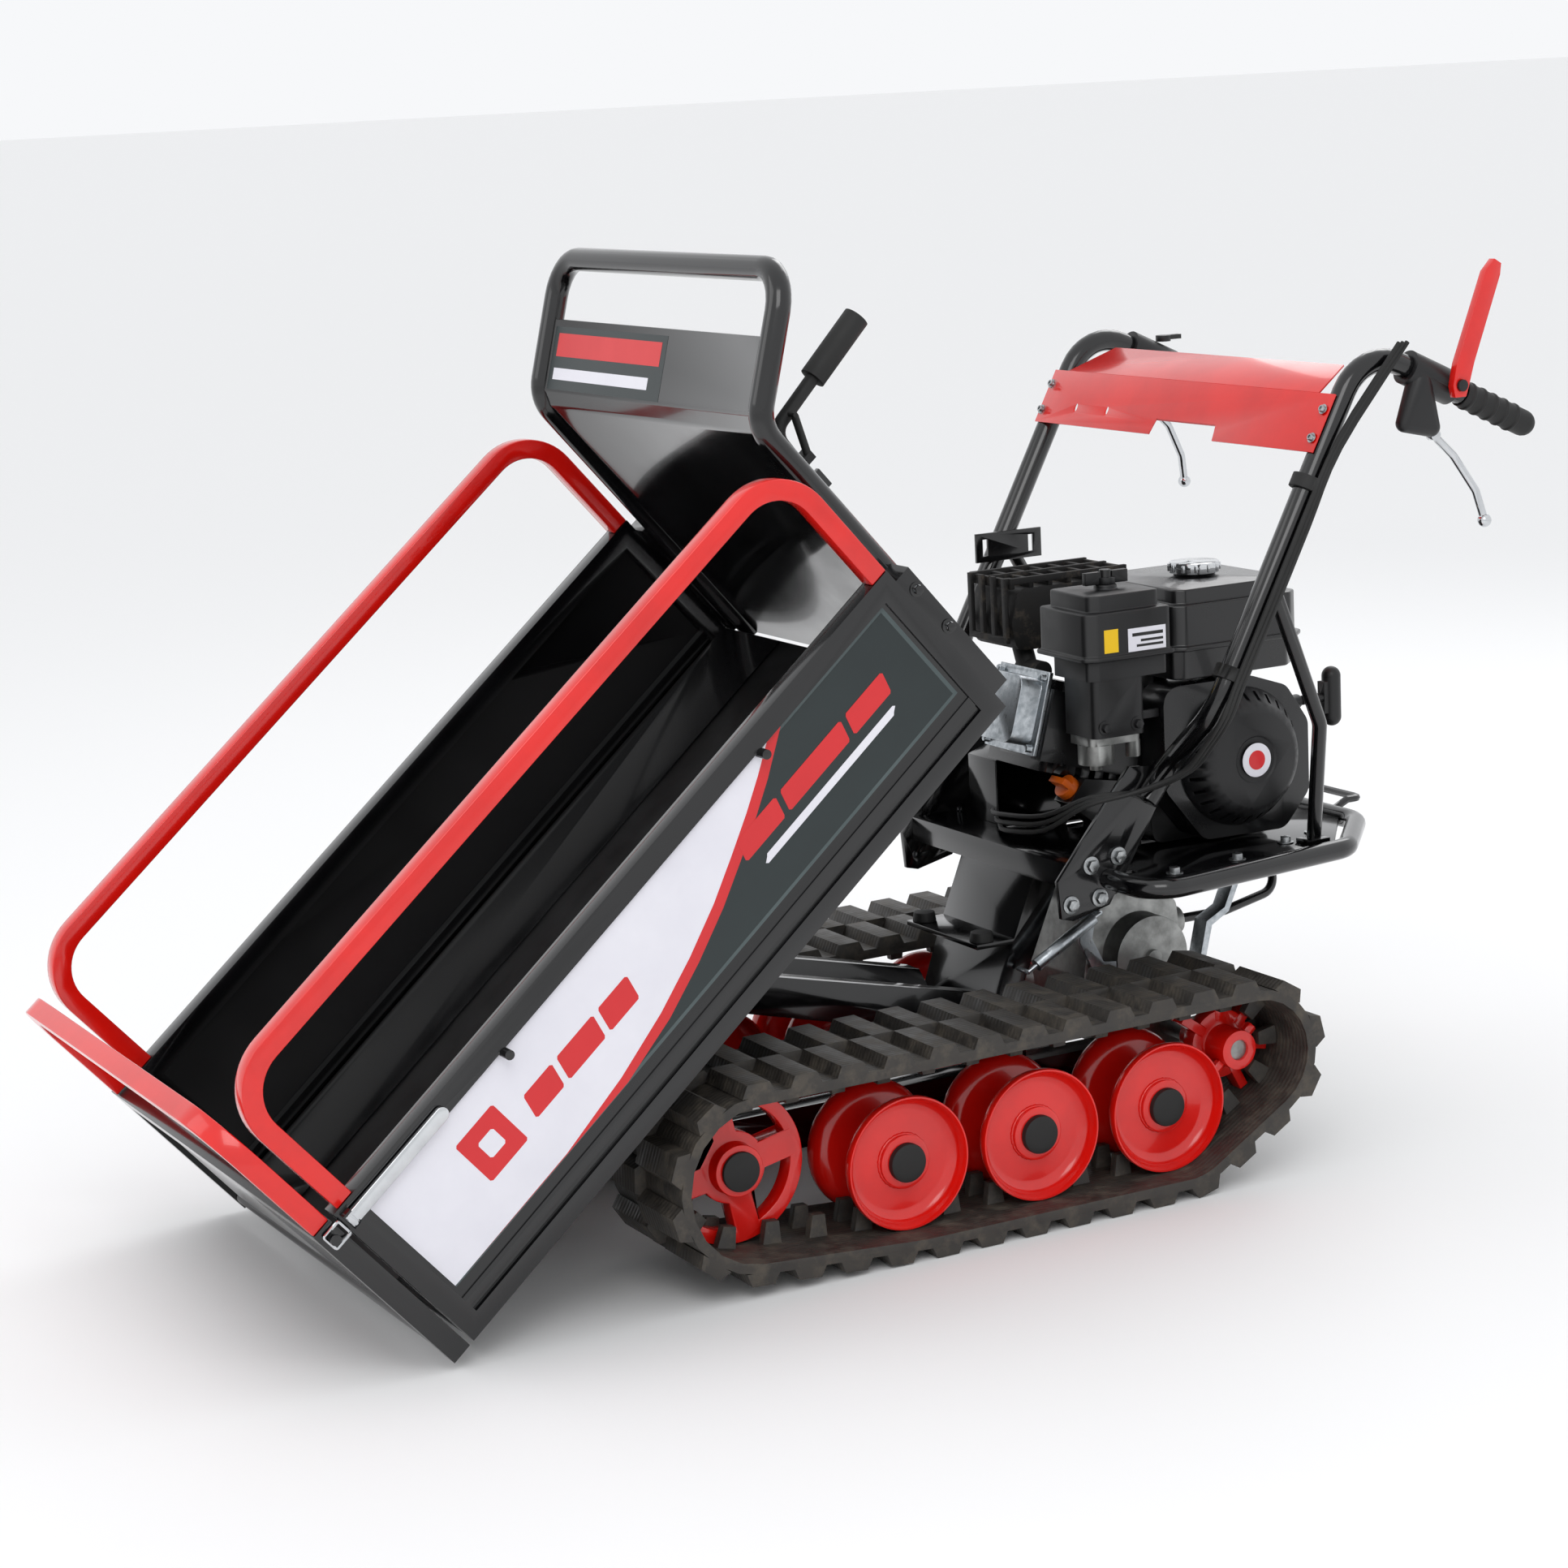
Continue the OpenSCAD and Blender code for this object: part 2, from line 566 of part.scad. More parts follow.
module drive_belt() {
    placed() {
        color(casting) {
            bar_y(crank_x, crank_z, belt_y0, belt_y1, 34);
            bar_y(crank_x, crank_z, belt_y1 - eps, block_in - slip, 10);
            bar_y(pulley_x, pulley_z, belt_y0, belt_y1, 46);
            bar_y(pulley_x, pulley_z, belt_y1 - eps, -84 - slip, 10);
        }
        color(rubber) translate([0, belt_y1 - 8, 0]) rotate([90, 0, 0]) linear_extrude(14)
            difference() {
                hull() {
                    translate([crank_x, crank_z]) circle(44);
                    translate([pulley_x, pulley_z]) circle(56);
                }
                hull() {
                    translate([crank_x, crank_z]) circle(34 + slip);
                    translate([pulley_x, pulley_z]) circle(46 + slip);
                }
            }
    }
}
guard_x = cross_x0 - slip;
module belt_guard() {
    placed() color(black) difference() {
        slab_y([[guard_x, deck_z + slip], [guard_x, 472], [guard_x - 38, 486], [-360, 540],
            [-450, 540], [-460, 480], [-460, deck_z + slip]], belt_y0 - 14, block_in - 12);
        slab_y([[guard_x - 3, deck_z - 1], [guard_x - 3, 470], [guard_x - 39, 483], [-361, 537],
            [-448, 537], [-457, 480], [-457, deck_z - 1]], belt_y0 - 11, block_in - 11);
    }
}

// ---------------------------------------------------------------- engine
dip_at = [-228, 78, 424];
dip_tilt = 50;
module engine_block() {
    placed() color(black) {
        difference() {
            union() {
                slab_y(rounded([[-300, foot_z], [-470, foot_z], [-492, 430], [-484, 520],
                    [-440, 560], [-300, 560], [-285, 470]], 14), block_in, 96);
                // Finned cylinder leaning towards the bed
                for (i = [0:6]) translate([-292 + 20*i, 20, 500 + 6*i]) rotate([0, -16, 0])
                    translate([0, -58, -56]) cube([12, 116, 112]);
                // Oil filler neck
                slab_y([[-302, 392], [-240, 392], [-178.3, 442.2], [-201.5, 469.8], [-302, 452]], 60, 95);
                translate([-300, -8, 500]) rotate([0, -16, 0]) translate([0, 0, -44]) cube([148.6, 92, 88]);
            }
            // Room for the dipstick in its neck
            translate(dip_at) rotate([0, dip_tilt, 0]) {
                cylinder(h = 60, r = 11 + slip);
                translate([0, 0, 50 - slip]) cylinder(h = 34, r = 17);
            }
        }
        bar_y(crank_x, crank_z, block_in + eps, 100, 30);
    }
}
module valve_cover() {
    placed() color(zinc) translate([-160, 20, 552]) rotate([0, -16, 0]) {
        translate([0, -56, -52]) cube([6, 112, 104]);
        translate([6 - eps, 0, 0]) rotate([0, 90, 0]) linear_extrude(30)
            polygon(rounded([[-42, -46], [42, -46], [42, 46], [-42, 46]], 14));
        for (y = [-48, 48]) for (z = [-44, 44]) translate([6, y, z]) rotate([0, 90, 0])
            cylinder(h = 8, r = 5, $fn = 6);
    }
}
shroud_outline = [[-285, 578], [-285, 450], [-340, 382], [-462, 380], [-500, 424], [-500, 512],
    [-468, 560], [-416, 578]];
// Guide tube of the starter rope, through the shroud's wall
guide_in = [-452, 128, 530];
guide_out = [-514, 104, 528];
guide_r = 9;
module engine_shroud() {
    placed() color(black) difference() {
        slab_y(rounded(shroud_outline, 22), 96 + slip, shroud_y);
        slab_y(rounded([[-292, 570], [-292, 453], [-343, 390], [-459, 388], [-492, 427],
            [-492, 509], [-464, 553], [-415, 570]], 16), 90, shroud_y - 4);
        bar_y(crank_x, crank_z, 90, 190, 60);
        bar(guide_in, guide_in + 1.15*(guide_out - guide_in), guide_r + slip);
    }
}
vents = 28;
module recoil_cover() {
    placed() translate([crank_x, shroud_y + slip, crank_z]) rotate([-90, 0, 0]) color(black)
    difference() {
        rotate_extrude() polygon([[0, 10], [48, 10], [50, 0], [86, 0], [86, 4],
            [recoil_r + 4, recoil_y - shroud_y - 8], [recoil_r - 6, recoil_y - shroud_y - 1],
            [30, recoil_y - shroud_y - 1], [28, recoil_y - shroud_y - 3],
            [0, recoil_y - shroud_y - 3]]);
        for (k = [0:vents - 1]) rotate([0, 0, 360*k/vents]) translate([72, -2.2, -1])
            cube([10, 4.4, 60]);
    }
    // Guide tube of the starter rope
    placed() color(black) bar(guide_in, guide_out, guide_r);
}
rope_exit = guide_out - [1.2, 0, 0];
grip_at = [-522, 104, 528];
module starter_rope() { placed() color(rubber) bar(rope_exit, grip_at + [0.3, 0, 0], 2.2); }
module starter_grip() {
    placed() color(black) {
        bar(grip_at, grip_at + [-40, 0, 0], 6);
        translate(grip_at + [-46, 0, 0]) {
            for (z = [-26, 26]) translate([0, 0, z]) sphere(r = 12);
            translate([0, 0, -26]) cylinder(h = 52, r = 12);
            translate([0, -7, -20]) cube([16, 14, 40]);
        }
    }
}
tank_z0 = 584;
tank_z1 = 694;
cap_at = [-405, 45];
module fuel_tank() {
    placed() color(black) difference() {
        union() {
            slab_z(rounded([[-303, -64], [-303, 138], [-318, 150], [-474, 150], [-492, 134],
                [-492, -64]], 10), tank_z0 + 42, tank_z1 - 18);
            slab_z(rounded([[-312, -56], [-312, 134], [-324, 142], [-466, 142], [-482, 128],
                [-482, -56]], 10), tank_z1 - 18 - eps, tank_z1);
            slab_z(rounded([[-298, -70], [-298, 142], [-315, 156], [-478, 156], [-498, 138],
                [-498, -70]], 10), tank_z0 + 36, tank_z0 + 42 + eps);
            slab_z(rounded([[-306, -60], [-306, 134], [-320, 146], [-470, 146], [-488, 130],
                [-488, -60]], 10), tank_z0, tank_z0 + 36 + eps);
            translate([cap_at[0], cap_at[1], tank_z1 - eps]) cylinder(h = 4, r = 26);
        }
        translate([cap_at[0], cap_at[1], tank_z0 + 20]) cylinder(h = 120, r = 20);
    }
    // Brackets that carry the tank on the engine
    placed() color(black) for (x = [-440, -340]) block([x - 10, 20, 560 + slip], [x + 10, 60, tank_z0 + eps]);
}
module fuel_cap() {
    placed() translate([cap_at[0], cap_at[1], tank_z1 + 4 + slip]) color(zinc) {
        cylinder(h = 13, r = 31);
        translate([0, 0, -12]) cylinder(h = 13, r = 20 - slip);
        for (k = [0:11]) rotate([0, 0, 30*k]) translate([31, 0, 2]) cylinder(h = 9, r = 2.2);
    }
}
filter_at = [-226, 116];
filter_top = 704;
module air_filter_cover() {
    placed() color(black) {
        slab_z(rounded([[-286, 60], [-164, 60], [-160, 166], [-176, 174], [-282, 174]], 9),
            632, filter_top - 20);
        slab_z(rounded([[-276, 68], [-174, 68], [-172, 158], [-186, 164], [-272, 164]], 9),
            filter_top - 20 - eps, filter_top);
        slab_z(rounded([[-290, 56], [-160, 56], [-156, 169], [-174, 178], [-286, 178]], 9),
            626, 632 + eps);
        translate([filter_at[0], filter_at[1], filter_top - eps]) cylinder(h = 6, r = 14);
    }
}
module filter_knob() {
    placed() translate([filter_at[0], filter_at[1], filter_top + 6 + slip]) color(black) {
        cylinder(h = 8, r = 12);
        for (a = [0, 180]) rotate([0, 0, a]) translate([8, -4, 0]) cube([22, 8, 15]);
        cylinder(h = 17, r = 7);
    }
}
module air_filter_base() {
    placed() color(black) {
        slab_z(rounded([[-282, 64], [-192, 64], [-166, 90], [-166, 162], [-180, 168], [-278, 168]], 6), 602,
            626 - slip);
        slab_z(rounded([[-246, 96], [-172, 96], [-172, 166], [-246, 166]], 9), 532, 602 + eps);
        for (x = [-186, -232]) bolt_y(x, 545, 166 - eps, 1, 5);
    }
}
module carburettor() {
    placed() color(zinc) {
        slab_z(rounded([[-250, 100], [-176, 100], [-176, 150], [-250, 150]], 8), 520, 532 - slip);
        translate([-196, 130, 496]) cylinder(h = 24 + eps, r = 22);
        translate([-196, 130, 488]) cylinder(h = 9, r = 8);
        translate([-244, 138, 500]) cylinder(h = 20 + eps, r = 9);
    }
}
choke_at = [-246 - 7 - slip, 132, 548];  // on the side of the filter's base
module choke_lever() {
    placed() translate(choke_at) color(black) {
        rotate([-90, 0, 0]) cylinder(h = 8, r = 7);
        translate([-30, 1, -5]) cube([28, 5, 10]);
    }
}
module dipstick() {
    placed() translate(dip_at) rotate([0, dip_tilt, 0]) color([0.85, 0.45, 0.05]) {
        translate([0, 0, 1]) cylinder(h = 49, r = 5);
        translate([0, 0, 30]) cylinder(h = 20, r = 11);
        translate([0, 0, 50 - eps]) cylinder(h = 10, r = 15);
        translate([-4, -15, 60 - eps]) cube([8, 30, 13]);
    }
}
muffler_x = -216;                   // outlet end of the silencer
muffler_y0 = -172;
muffler_y1 = -74;
module muffler() {
    placed() color([0.1, 0.1, 0.1]) {
        translate([muffler_x + 166, 0, 0])
            slab_y(rounded([[-338, 606], [-166, 606], [-160, 640], [-170, 684], [-330, 684]], 14),
                muffler_y0, muffler_y1);
        // Exhaust pipe down to the cylinder head
        bar_y(-240, 580, -100, -52, 13);
        bar([-240, -88, 580], [-240, -100, 607], 13);
    }
}
module muffler_guard() {
    placed() color(black) {
        x0 = muffler_x - 168;
        x1 = muffler_x + 6;
        y0 = muffler_y0;
        y1 = muffler_y1;
        for (i = [0:6]) translate([x0 + 28*i, 0, 0]) block([0, y0, 684 + slip], [6, y1, 696]);
        for (y = [y0, (y0 + y1)/2 - 3, y1 - 6]) block([x0, y, 690], [x1, y + 6, 698]);
        for (i = [0:3]) block([x1 + slip + 0.4, y0 + 4 + 27*i, 616], [x1 + 6, y0 + 12 + 27*i, 698]);
        block([x1 + slip + 0.4, y0 + 4, 616], [x1 + 6, y1 - 4, 624]);
        for (y = [y0 + 4, y0 + 85]) block([x1 - 6, y, 690], [x1 + 6, y + 8, 698]);
    }
}

// ---------------------------------------------------------------- handles
bracket_outline = [[-104, 326], [-100, 372], [-206, 498], [-256, 494], [-262, 474], [-206, 384],
    [-172, 334], [-120, 322]];
module handle_side() {
    difference() {
        slab_y(bracket_outline, bracket_y - bracket_t + eps, bracket_y);
        for (p = [[-117, 342], [-158, 345], [-147, 386], [-186, 392]]) bar_y(p[0], p[1], 150, 220, 4.5);
    }
    foot = [-252, bracket_y + handle_d/2 - 3, 492];
    low = [-222, bracket_y + handle_d/2 - 3, 456];
    tube([low, foot, kink, corner, run_point(grip_start + grip_len - 12)], handle_d/2, handle_bend);
    // Stay from the tube down to the deck
    tube([riser_point(710) + [-12, 0, 0], [-430, handle_y - 30, 532], [-468, 196, deck_z + 4]], 9, 40);
    block([-484, 184, deck_z + slip], [-450, 208, deck_z + 6]);
}
module handle_tubes() {
    placed() color(black) {
        both_sides() handle_side();
        // Slotted plate welded to the inside of the right tube
        difference() {
            block([-386, -handle_y + 12, 690], [-286, -handle_y + 16, 728]);
            for (x = [-374, -304]) block([x, -handle_y + 5, 698], [x + 8, -handle_y + 20, 720]);
        }
        bar(flip(riser_point(706)), flip(riser_point(706)) + [0, 13, 0], 10);
    }
}
// Hood: front face along the tubes, and a top face folded back between them
hood_off = (handle_d/2 + sheet + slip)/sin(riser_slope);
fold = [riser_point(hood_z + 20)[0] + hood_off, hood_z + 20];
hood_low = [riser_point(hood_z - 45)[0] + hood_off, hood_z - 45];
hood_back = [fold[0] - 57, fold[1] + 27];
hood_in = handle_y + 8;
module hood_panel() {
    face = norm(fold - hood_low);
    top = norm(hood_back - fold);
    top_slope = atan2(hood_back[1] - fold[1], fold[0] - hood_back[0]);
    placed() color(red) {
        difference() {
            translate([hood_low[0], 0, hood_low[1]]) rotate([0, riser_slope - 180, 0])
                slab_z([[0, -hood_in], [face, -hood_in], [face, hood_in], [0, hood_in]], 0, sheet);
            // Arch over the controls and two small holes
            translate([hood_low[0], 31, hood_low[1] - 26]) rotate([0, 90 - riser_slope, 0])
                rotate([0, 90, 0]) translate([0, 0, -30]) cylinder(h = 60, r = 72);
            for (y = [-220, -148]) translate([hood_low[0] - 10, y, hood_low[1] + 20])
                rotate([0, 90 + 90 - riser_slope, 0]) translate([0, 0, -30]) cylinder(h = 60, r = 3.5);
        }
        translate([fold[0], 0, fold[1]]) rotate([0, top_slope, 0]) mirror([1, 0, 0])
            slab_z([[0.6, -handle_y + 24], [top, -handle_y + 50], [top, handle_y - 50],
                [0.6, handle_y - 24]], -sheet, 0);
    }
}
// Half section of a hand grip: radius, then distance from its open end
module hand_grips() {
    bore = handle_d/2 + run_clear;
    section = concat([[bore, 0], [grip_r, 0]],
        [for (i = [0:4]) each [[grip_r, 8 + 18*i], [grip_r + 1.5, 9 + 18*i],
            [grip_r + 1.5, 12 + 18*i], [grip_r, 13 + 18*i]]],
        [for (i = [0:6]) [grip_r*cos(15*i), grip_len + grip_r*sin(15*i)]],
        [[0, grip_len - 12 + slip], [bore, grip_len - 12 + slip]]);
    placed() color(rubber) both_sides() aim(run_point(grip_start), run_point(1) - run_point(0))
        rotate_extrude() polygon(section);
}
housing_at = 70;                    // distance along the run from the corner to the lever housing
housing_len = 72;
housing_r = 21;
lever_pin = run_point(104) + [-4, 6, -69];
clutch_pin = run_point(housing_at + housing_len - 8) + [0, housing_r + slip, 2];
module lever_housing() {
    difference() {
        union() {
            bar(run_point(housing_at), run_point(housing_at + housing_len), housing_r);
            hull() {
                translate(run_point(84) + [0, 8, -12]) sphere(r = 15, $fn = 24);
                translate(lever_pin + [6, 2, 10]) sphere(r = 12, $fn = 24);
                translate(run_point(60) + [0, 8, -70]) sphere(r = 11, $fn = 24);
            }
        }
        bar(run_point(housing_at - 30), run_point(housing_at + housing_len + 40), handle_d/2 + run_clear);
        // Slot for the steering lever
        block(lever_pin + [-60, -6, -40], lever_pin + [8, 6, 12]);
    }
}
module lever_housings() {
    placed() color(black) {
        both_sides() lever_housing();
        // Pin of the clutch lever
        bar_y(clutch_pin[0], clutch_pin[2], clutch_pin[1] - 4, clutch_pin[1] + 12, 4);
        bar_y(clutch_pin[0], clutch_pin[2], clutch_pin[1] + 10 + slip, clutch_pin[1] + 14, 7);
    }
}
module steering_lever() {
    y = lever_pin[1];
    placed() color(zinc) {
        bar_y(lever_pin[0], lever_pin[2], y - 5.7, y + 5.7, 7);
        tube([lever_pin, lever_pin + [-30, 0, -28], lever_pin + [-56, 9, -72], lever_pin + [-64, 15, -108]],
            5, 22);
        translate(lever_pin + [-64, 15, -108]) sphere(r = 8.5);
    }
}
module steering_lever_left() { steering_lever(); }
module steering_lever_right() { scale_y(-1) steering_lever(); }
module clutch_lever() {
    p = [clutch_pin[0], clutch_pin[2]];
    placed() color(red) difference() {
        slab_y([p + [9, -14], p + [12, 0], p + [6, 26], p + [-38, 132], p + [-52, 146], p + [-62, 140],
            p + [-60, 126], p + [-20, 26], p + [-12, 0], p + [-7, -14]], clutch_pin[1], clutch_pin[1] + 10);
        bar_y(p[0], p[1], clutch_pin[1] - 1, clutch_pin[1] + 11, 4 + run_clear);
    }
}
throttle_pin = flip(run_point(132)) + [0, 0, 28.4];
module throttle_lever() {
    placed() color(red) {
        translate(throttle_pin) cylinder(h = 8, r = 10);
        translate(throttle_pin + [-26, -5, 2]) cube([22, 10, 6]);
    }
}
module gear_lever() {
    placed() {
        color(zinc) tube([[-396.3, 0, 246], [-470, 0, 246], [-548, 0, 262], [-560, -30, 330], [-560, -30, 470]], 6, 26);
        color(black) translate([-560, -30, 478]) sphere(r = 17);
    }
}

// Control cables, from the left housing down the tube to the engine and gearbox
module control_cables() {
    placed() color(black) {
        // Three cables, held to the left tube and led over its bracket to the engine
        for (i = [0:2]) cable(smooth([run_point(52) + [10 - 6*i, 22, 24], riser_point(880) + [-4, 20 + i, -6*i],
            riser_point(780) + [-6*i, 19.5, 0], riser_point(680) + [-6*i, 19.5, 0],
            riser_point(612) + [2 - 6*i, 20, 0], [-254 - 6*i, 315, 571], [-250 - 6*i, 284, 534],
            [-242 - 6*i, 246, 496], [-200 - 5*i, 210, 472], [-146 - 4*i, 182, 458 + 5*i],
            [-118, 130, 424 + 9*i], [-108, 60 - 8*i, 414 + 9*i], [-124, 20 - 8*i, 412 + 8*i]]), 3);
        for (z = [820, 607]) translate(riser_point(z)) rotate([0, riser_slope - 90, 0]) difference() {
            cylinder(h = 16, r = 20);
            translate([0, 0, -1]) cylinder(h = 18, r = handle_d/2 + slip);
        }
    }
}
module frame_bolts() {
    placed() color(zinc) {
        both_sides() {
            for (p = [[-117, 342], [-158, 345], [-147, 386], [-186, 392]])
                bolt_y(p[0], p[1], bracket_y + slip, 1);
            bolt_z(-240, 226, deck_z + slip);
            bolt_z(-340, 214, deck_z + slip);
            bolt_z(-500, 150, deck_z + slip);
            bolt_z(-440, 176, deck_z + slip);
        }
    }
}

// ---------------------------------------------------------------- bed
module bed_floor() {
    on_bed() color(black) {
        difference() {
            union() {
                block([0, -bed_half + post + 1, floor_z - sheet], [bed_len, bed_half - post - 1, floor_z]);
                block([0, -bed_half + post + 1, 0], [sheet, bed_half - post - 1, floor_z]);
                block([bed_len - sheet, -bed_half + post + 1, 2], [bed_len, bed_half - post - 1, floor_z]);
                for (y = [-sub_y, sub_y]) block([0, y - 20, floor_z - sheet - sub_h], [bed_len - 60, y + 20, floor_z - sheet]);
                for (x = [0, bed_len/2, bed_len - 100])
                    block([x, -sub_y, floor_z - sheet - sub_h], [x + 40, sub_y, floor_z - sheet]);
            }
        }
        // Feet that land on the rubber stops
        foot_x = stop_x - tip_x + pivot_to_rear;
        both_sides() block([max(foot_x - 12, 0), stop_y - 12, shelf_z + stop_h + slip - tip_z - bed_over_pivot],
            [foot_x + 12, stop_y + 12, floor_z - sheet - sub_h + eps]);
        // Ears that turn on the pivot shaft
        both_sides() difference() {
            slab_y([[pivot_to_rear - 40, floor_z - sheet - sub_h + 1], [pivot_to_rear - 22, -bed_over_pivot - 10],
                [pivot_to_rear - 10, -bed_over_pivot - 22], [pivot_to_rear + 10, -bed_over_pivot - 22],
                [pivot_to_rear + 22, -bed_over_pivot - 10], [pivot_to_rear + 40, floor_z - sheet - sub_h + 1]],
                arm_y + 6, arm_y + 16);
            bar_y(pivot_to_rear, -bed_over_pivot, arm_y, arm_y + 40, pivot_d/2 + run_clear);
        }
    }
}
head_r = head_tube_d/2;
head_x = -head_r - 2;
head_kink = [head_x, head_y, head_kink_z];
head_top = head_kink + head_top_len*[-sin(head_lean), 0, cos(head_lean)];
head_bend = 46;
plate_top = 96;                     // height of the sheet above the kink, along the tube
module headboard() {
    on_bed() color(black) {
        path = [[head_x, head_y, 6], head_kink, head_top, flip(head_top), flip(head_kink), [head_x, -head_y, 6]];
        tube(path, head_r, head_bend);
        // Sheet between the tubes, bent with them
        up = [-sin(head_lean), cos(head_lean)];
        k = [head_x - 1, head_kink_z];
        slab_y([[k[0], 6], k - [0, 18], k + 10*up, k + plate_top*up, k + plate_top*up + [2.4, 2],
            k + 10*up + [2.4, 2], k - [-2.4, 12], [k[0] + 2.4, 6]], -head_y, head_y);
        // Flanges bolted behind the side panels
        both_sides() block([-22, head_y + head_r - 3, 20], [-slip, bed_half - 2, 205]);
        // Cheeks that hold the tip lever
        for (y = [lever_at[1] - 16, lever_at[1] + 9 + slip])
            block([lever_at[0] - 11, y, lever_at[2] - 12], [head_x - 1 + eps, y + 7 - slip, lever_at[2] + 12]);
    }
    on_bed() color(zinc) both_sides() for (z = [120, 180]) bolt_y(-12, z, bed_half - 2 + slip, 1, 5);
}
// Side panel of the left side, with its sliding floor wing
module side_panel() {
    y0 = bed_half - post;
    y1 = bed_half;
    color(black) {
        block([0, y0, 0], [post, y1, panel_h]);
        block([bed_len - post, y0, 0], [bed_len, y1, panel_h]);
        block([post - eps, y0, panel_h - post], [bed_len - post + eps, y1, panel_h]);
        block([post - eps, y0, 0], [bed_len - post + eps, y1, post - 4]);
        block([post - eps, y0 + 4, post + 4], [bed_len - post + eps, y1 - 3, 42]);
        block([post - eps, y1 - 8, post - 5], [bed_len - post + eps, y1 - 6, panel_h - post + eps]);
        // Floor wing that lies on the fixed floor
        block([2, y0 - wing_w, slide_z], [bed_len - 3, y0 + eps, slide_z + sheet]);
        // Tie-down pegs
        for (x = [243, 668]) bar_y(x, panel_h - 28, y1 - 9, y1 + 14, 5.5);
        // Lugs that hold the latch lever
        for (z = [-11, 8 + slip]) translate([latch_x - 6, y1 - eps, latch_z + z])
            cube([11, 11 + eps, 3 - slip]);
    }
}
module side_panel_left() { on_bed() side_panel(); }
module side_panel_right() { on_bed() scale_y(-1) side_panel(); }
module side_rail() {
    y = bed_half - post/2;
    z = rail_top - rail_t/2;
    x0 = post/2 - 1;
    x1 = bed_len - post/2 - 6;
    color(red) square_tube([[x0, y, panel_h + slip], [x0, y, z], [x1, y, z], [x1, y, panel_h + slip]],
        rail_t, rail_bend, [0, 1, 0]);
}
module side_rail_left() { on_bed() side_rail(); }
module side_rail_right() { on_bed() scale_y(-1) side_rail(); }

gate_half = bed_half;
module gate_panel() {
    on_bed() color(black) {
        both_sides() block([gate_x, gate_half - post, 0], [gate_x + post, gate_half, panel_h]);
        block([gate_x, -gate_half, panel_h - post], [gate_x + post, gate_half, panel_h]);
        bar_y(hinge_x, hinge_z, -gate_half + eps, gate_half - eps, post/2 - 1);
        block([gate_x + post - 8, -gate_half + 2, hinge_z], [gate_x + post - 6, gate_half - 2, panel_h - post + eps]);
        // Studs for the bails
        both_sides() {
            bar_y(bail_pin, latch_z, gate_half - eps, gate_half + 10, 4);
            bar_y(bail_pin, latch_z, gate_half + 9, gate_half + 12, 6);
        }
    }
}
module gate_rail() {
    x = gate_x + post/2;
    y = gate_half - post/2;
    z = gate_top - rail_t/2;
    on_bed() color(red) square_tube([[x, y, panel_h + slip], [x, y, z], [x, -y, z], [x, -y, panel_h + slip]],
        rail_t, rail_bend, [1, 0, 0]);
}
latch_x = bed_len - 9;              // pivot of the latch lever
latch_len = 142;
latch_z = panel_h - 16;
latch_y = bed_half + 5 + slip;
module gate_latch() {
    color(black) {
        translate([latch_x, latch_y, latch_z - 8]) cylinder(h = 16, r = 5);
        block([latch_x - latch_len, latch_y - 3, latch_z - 8], [latch_x - 2, latch_y + 3, latch_z + 8]);
        translate([latch_x - latch_len, latch_y - 3, latch_z]) rotate([-90, 0, 0]) cylinder(h = 6, r = 8);
    }
}
// Wire bail that hangs on the gate's stud and reaches back to the latch lever
bail_r = 1.8;
bail_pin = gate_x + 12;
bail_y = bed_half + 5 + slip;
bail_x0 = bed_len + slip + bail_r;  // clear of the side panel as it slides
bail_x1 = bail_pin + 4 + slip + bail_r;
module gate_bail() {
    z = 10;
    color(zinc) tube([[bail_x0, bail_y, latch_z - z + 3], [bail_x0, bail_y, latch_z + z],
        [bail_x1, bail_y, latch_z + z], [bail_x1, bail_y, latch_z - z], [bail_x0, bail_y, latch_z - z],
        [bail_x0, bail_y, latch_z - z + 2]], bail_r, 2, 8);
}
module gate_latch_left() { on_bed() gate_latch(); }
module gate_latch_right() { on_bed() scale_y(-1) gate_latch(); }
module gate_bail_left() { on_bed() gate_bail(); }
module gate_bail_right() { on_bed() scale_y(-1) gate_bail(); }
// Tipping lever behind the headboard, on the left
lever_at = [-46, 205, 300];
module tip_lever() {
    grip0 = lever_at + [-80, 0, 83];
    grip1 = lever_at + [-166, 0, 92];
    on_bed() color(black) {
        bar_y(lever_at[0], lever_at[2], lever_at[1] - 9, lever_at[1] + 9, 10);
        tube([lever_at, lever_at + [-4, 0, 75], grip0, grip1 + [8, 0, -1]], 8, 20);
    }
    on_bed() color(rubber) bar(grip0, grip1, 15);
    // Spring from the lever's eye down to its plate
    on_bed() color(zinc) bar(lever_at + [-30, 16, 76], lever_at + [-12, 16, 34], 4.5);
    on_bed() color(black) {
        bar_y(lever_at[0] - 30, lever_at[2] + 78, lever_at[1], lever_at[1] + 21, 3);
        block(lever_at + [-16, 0, 26], lever_at + [6, 21, 36]);
    }
}

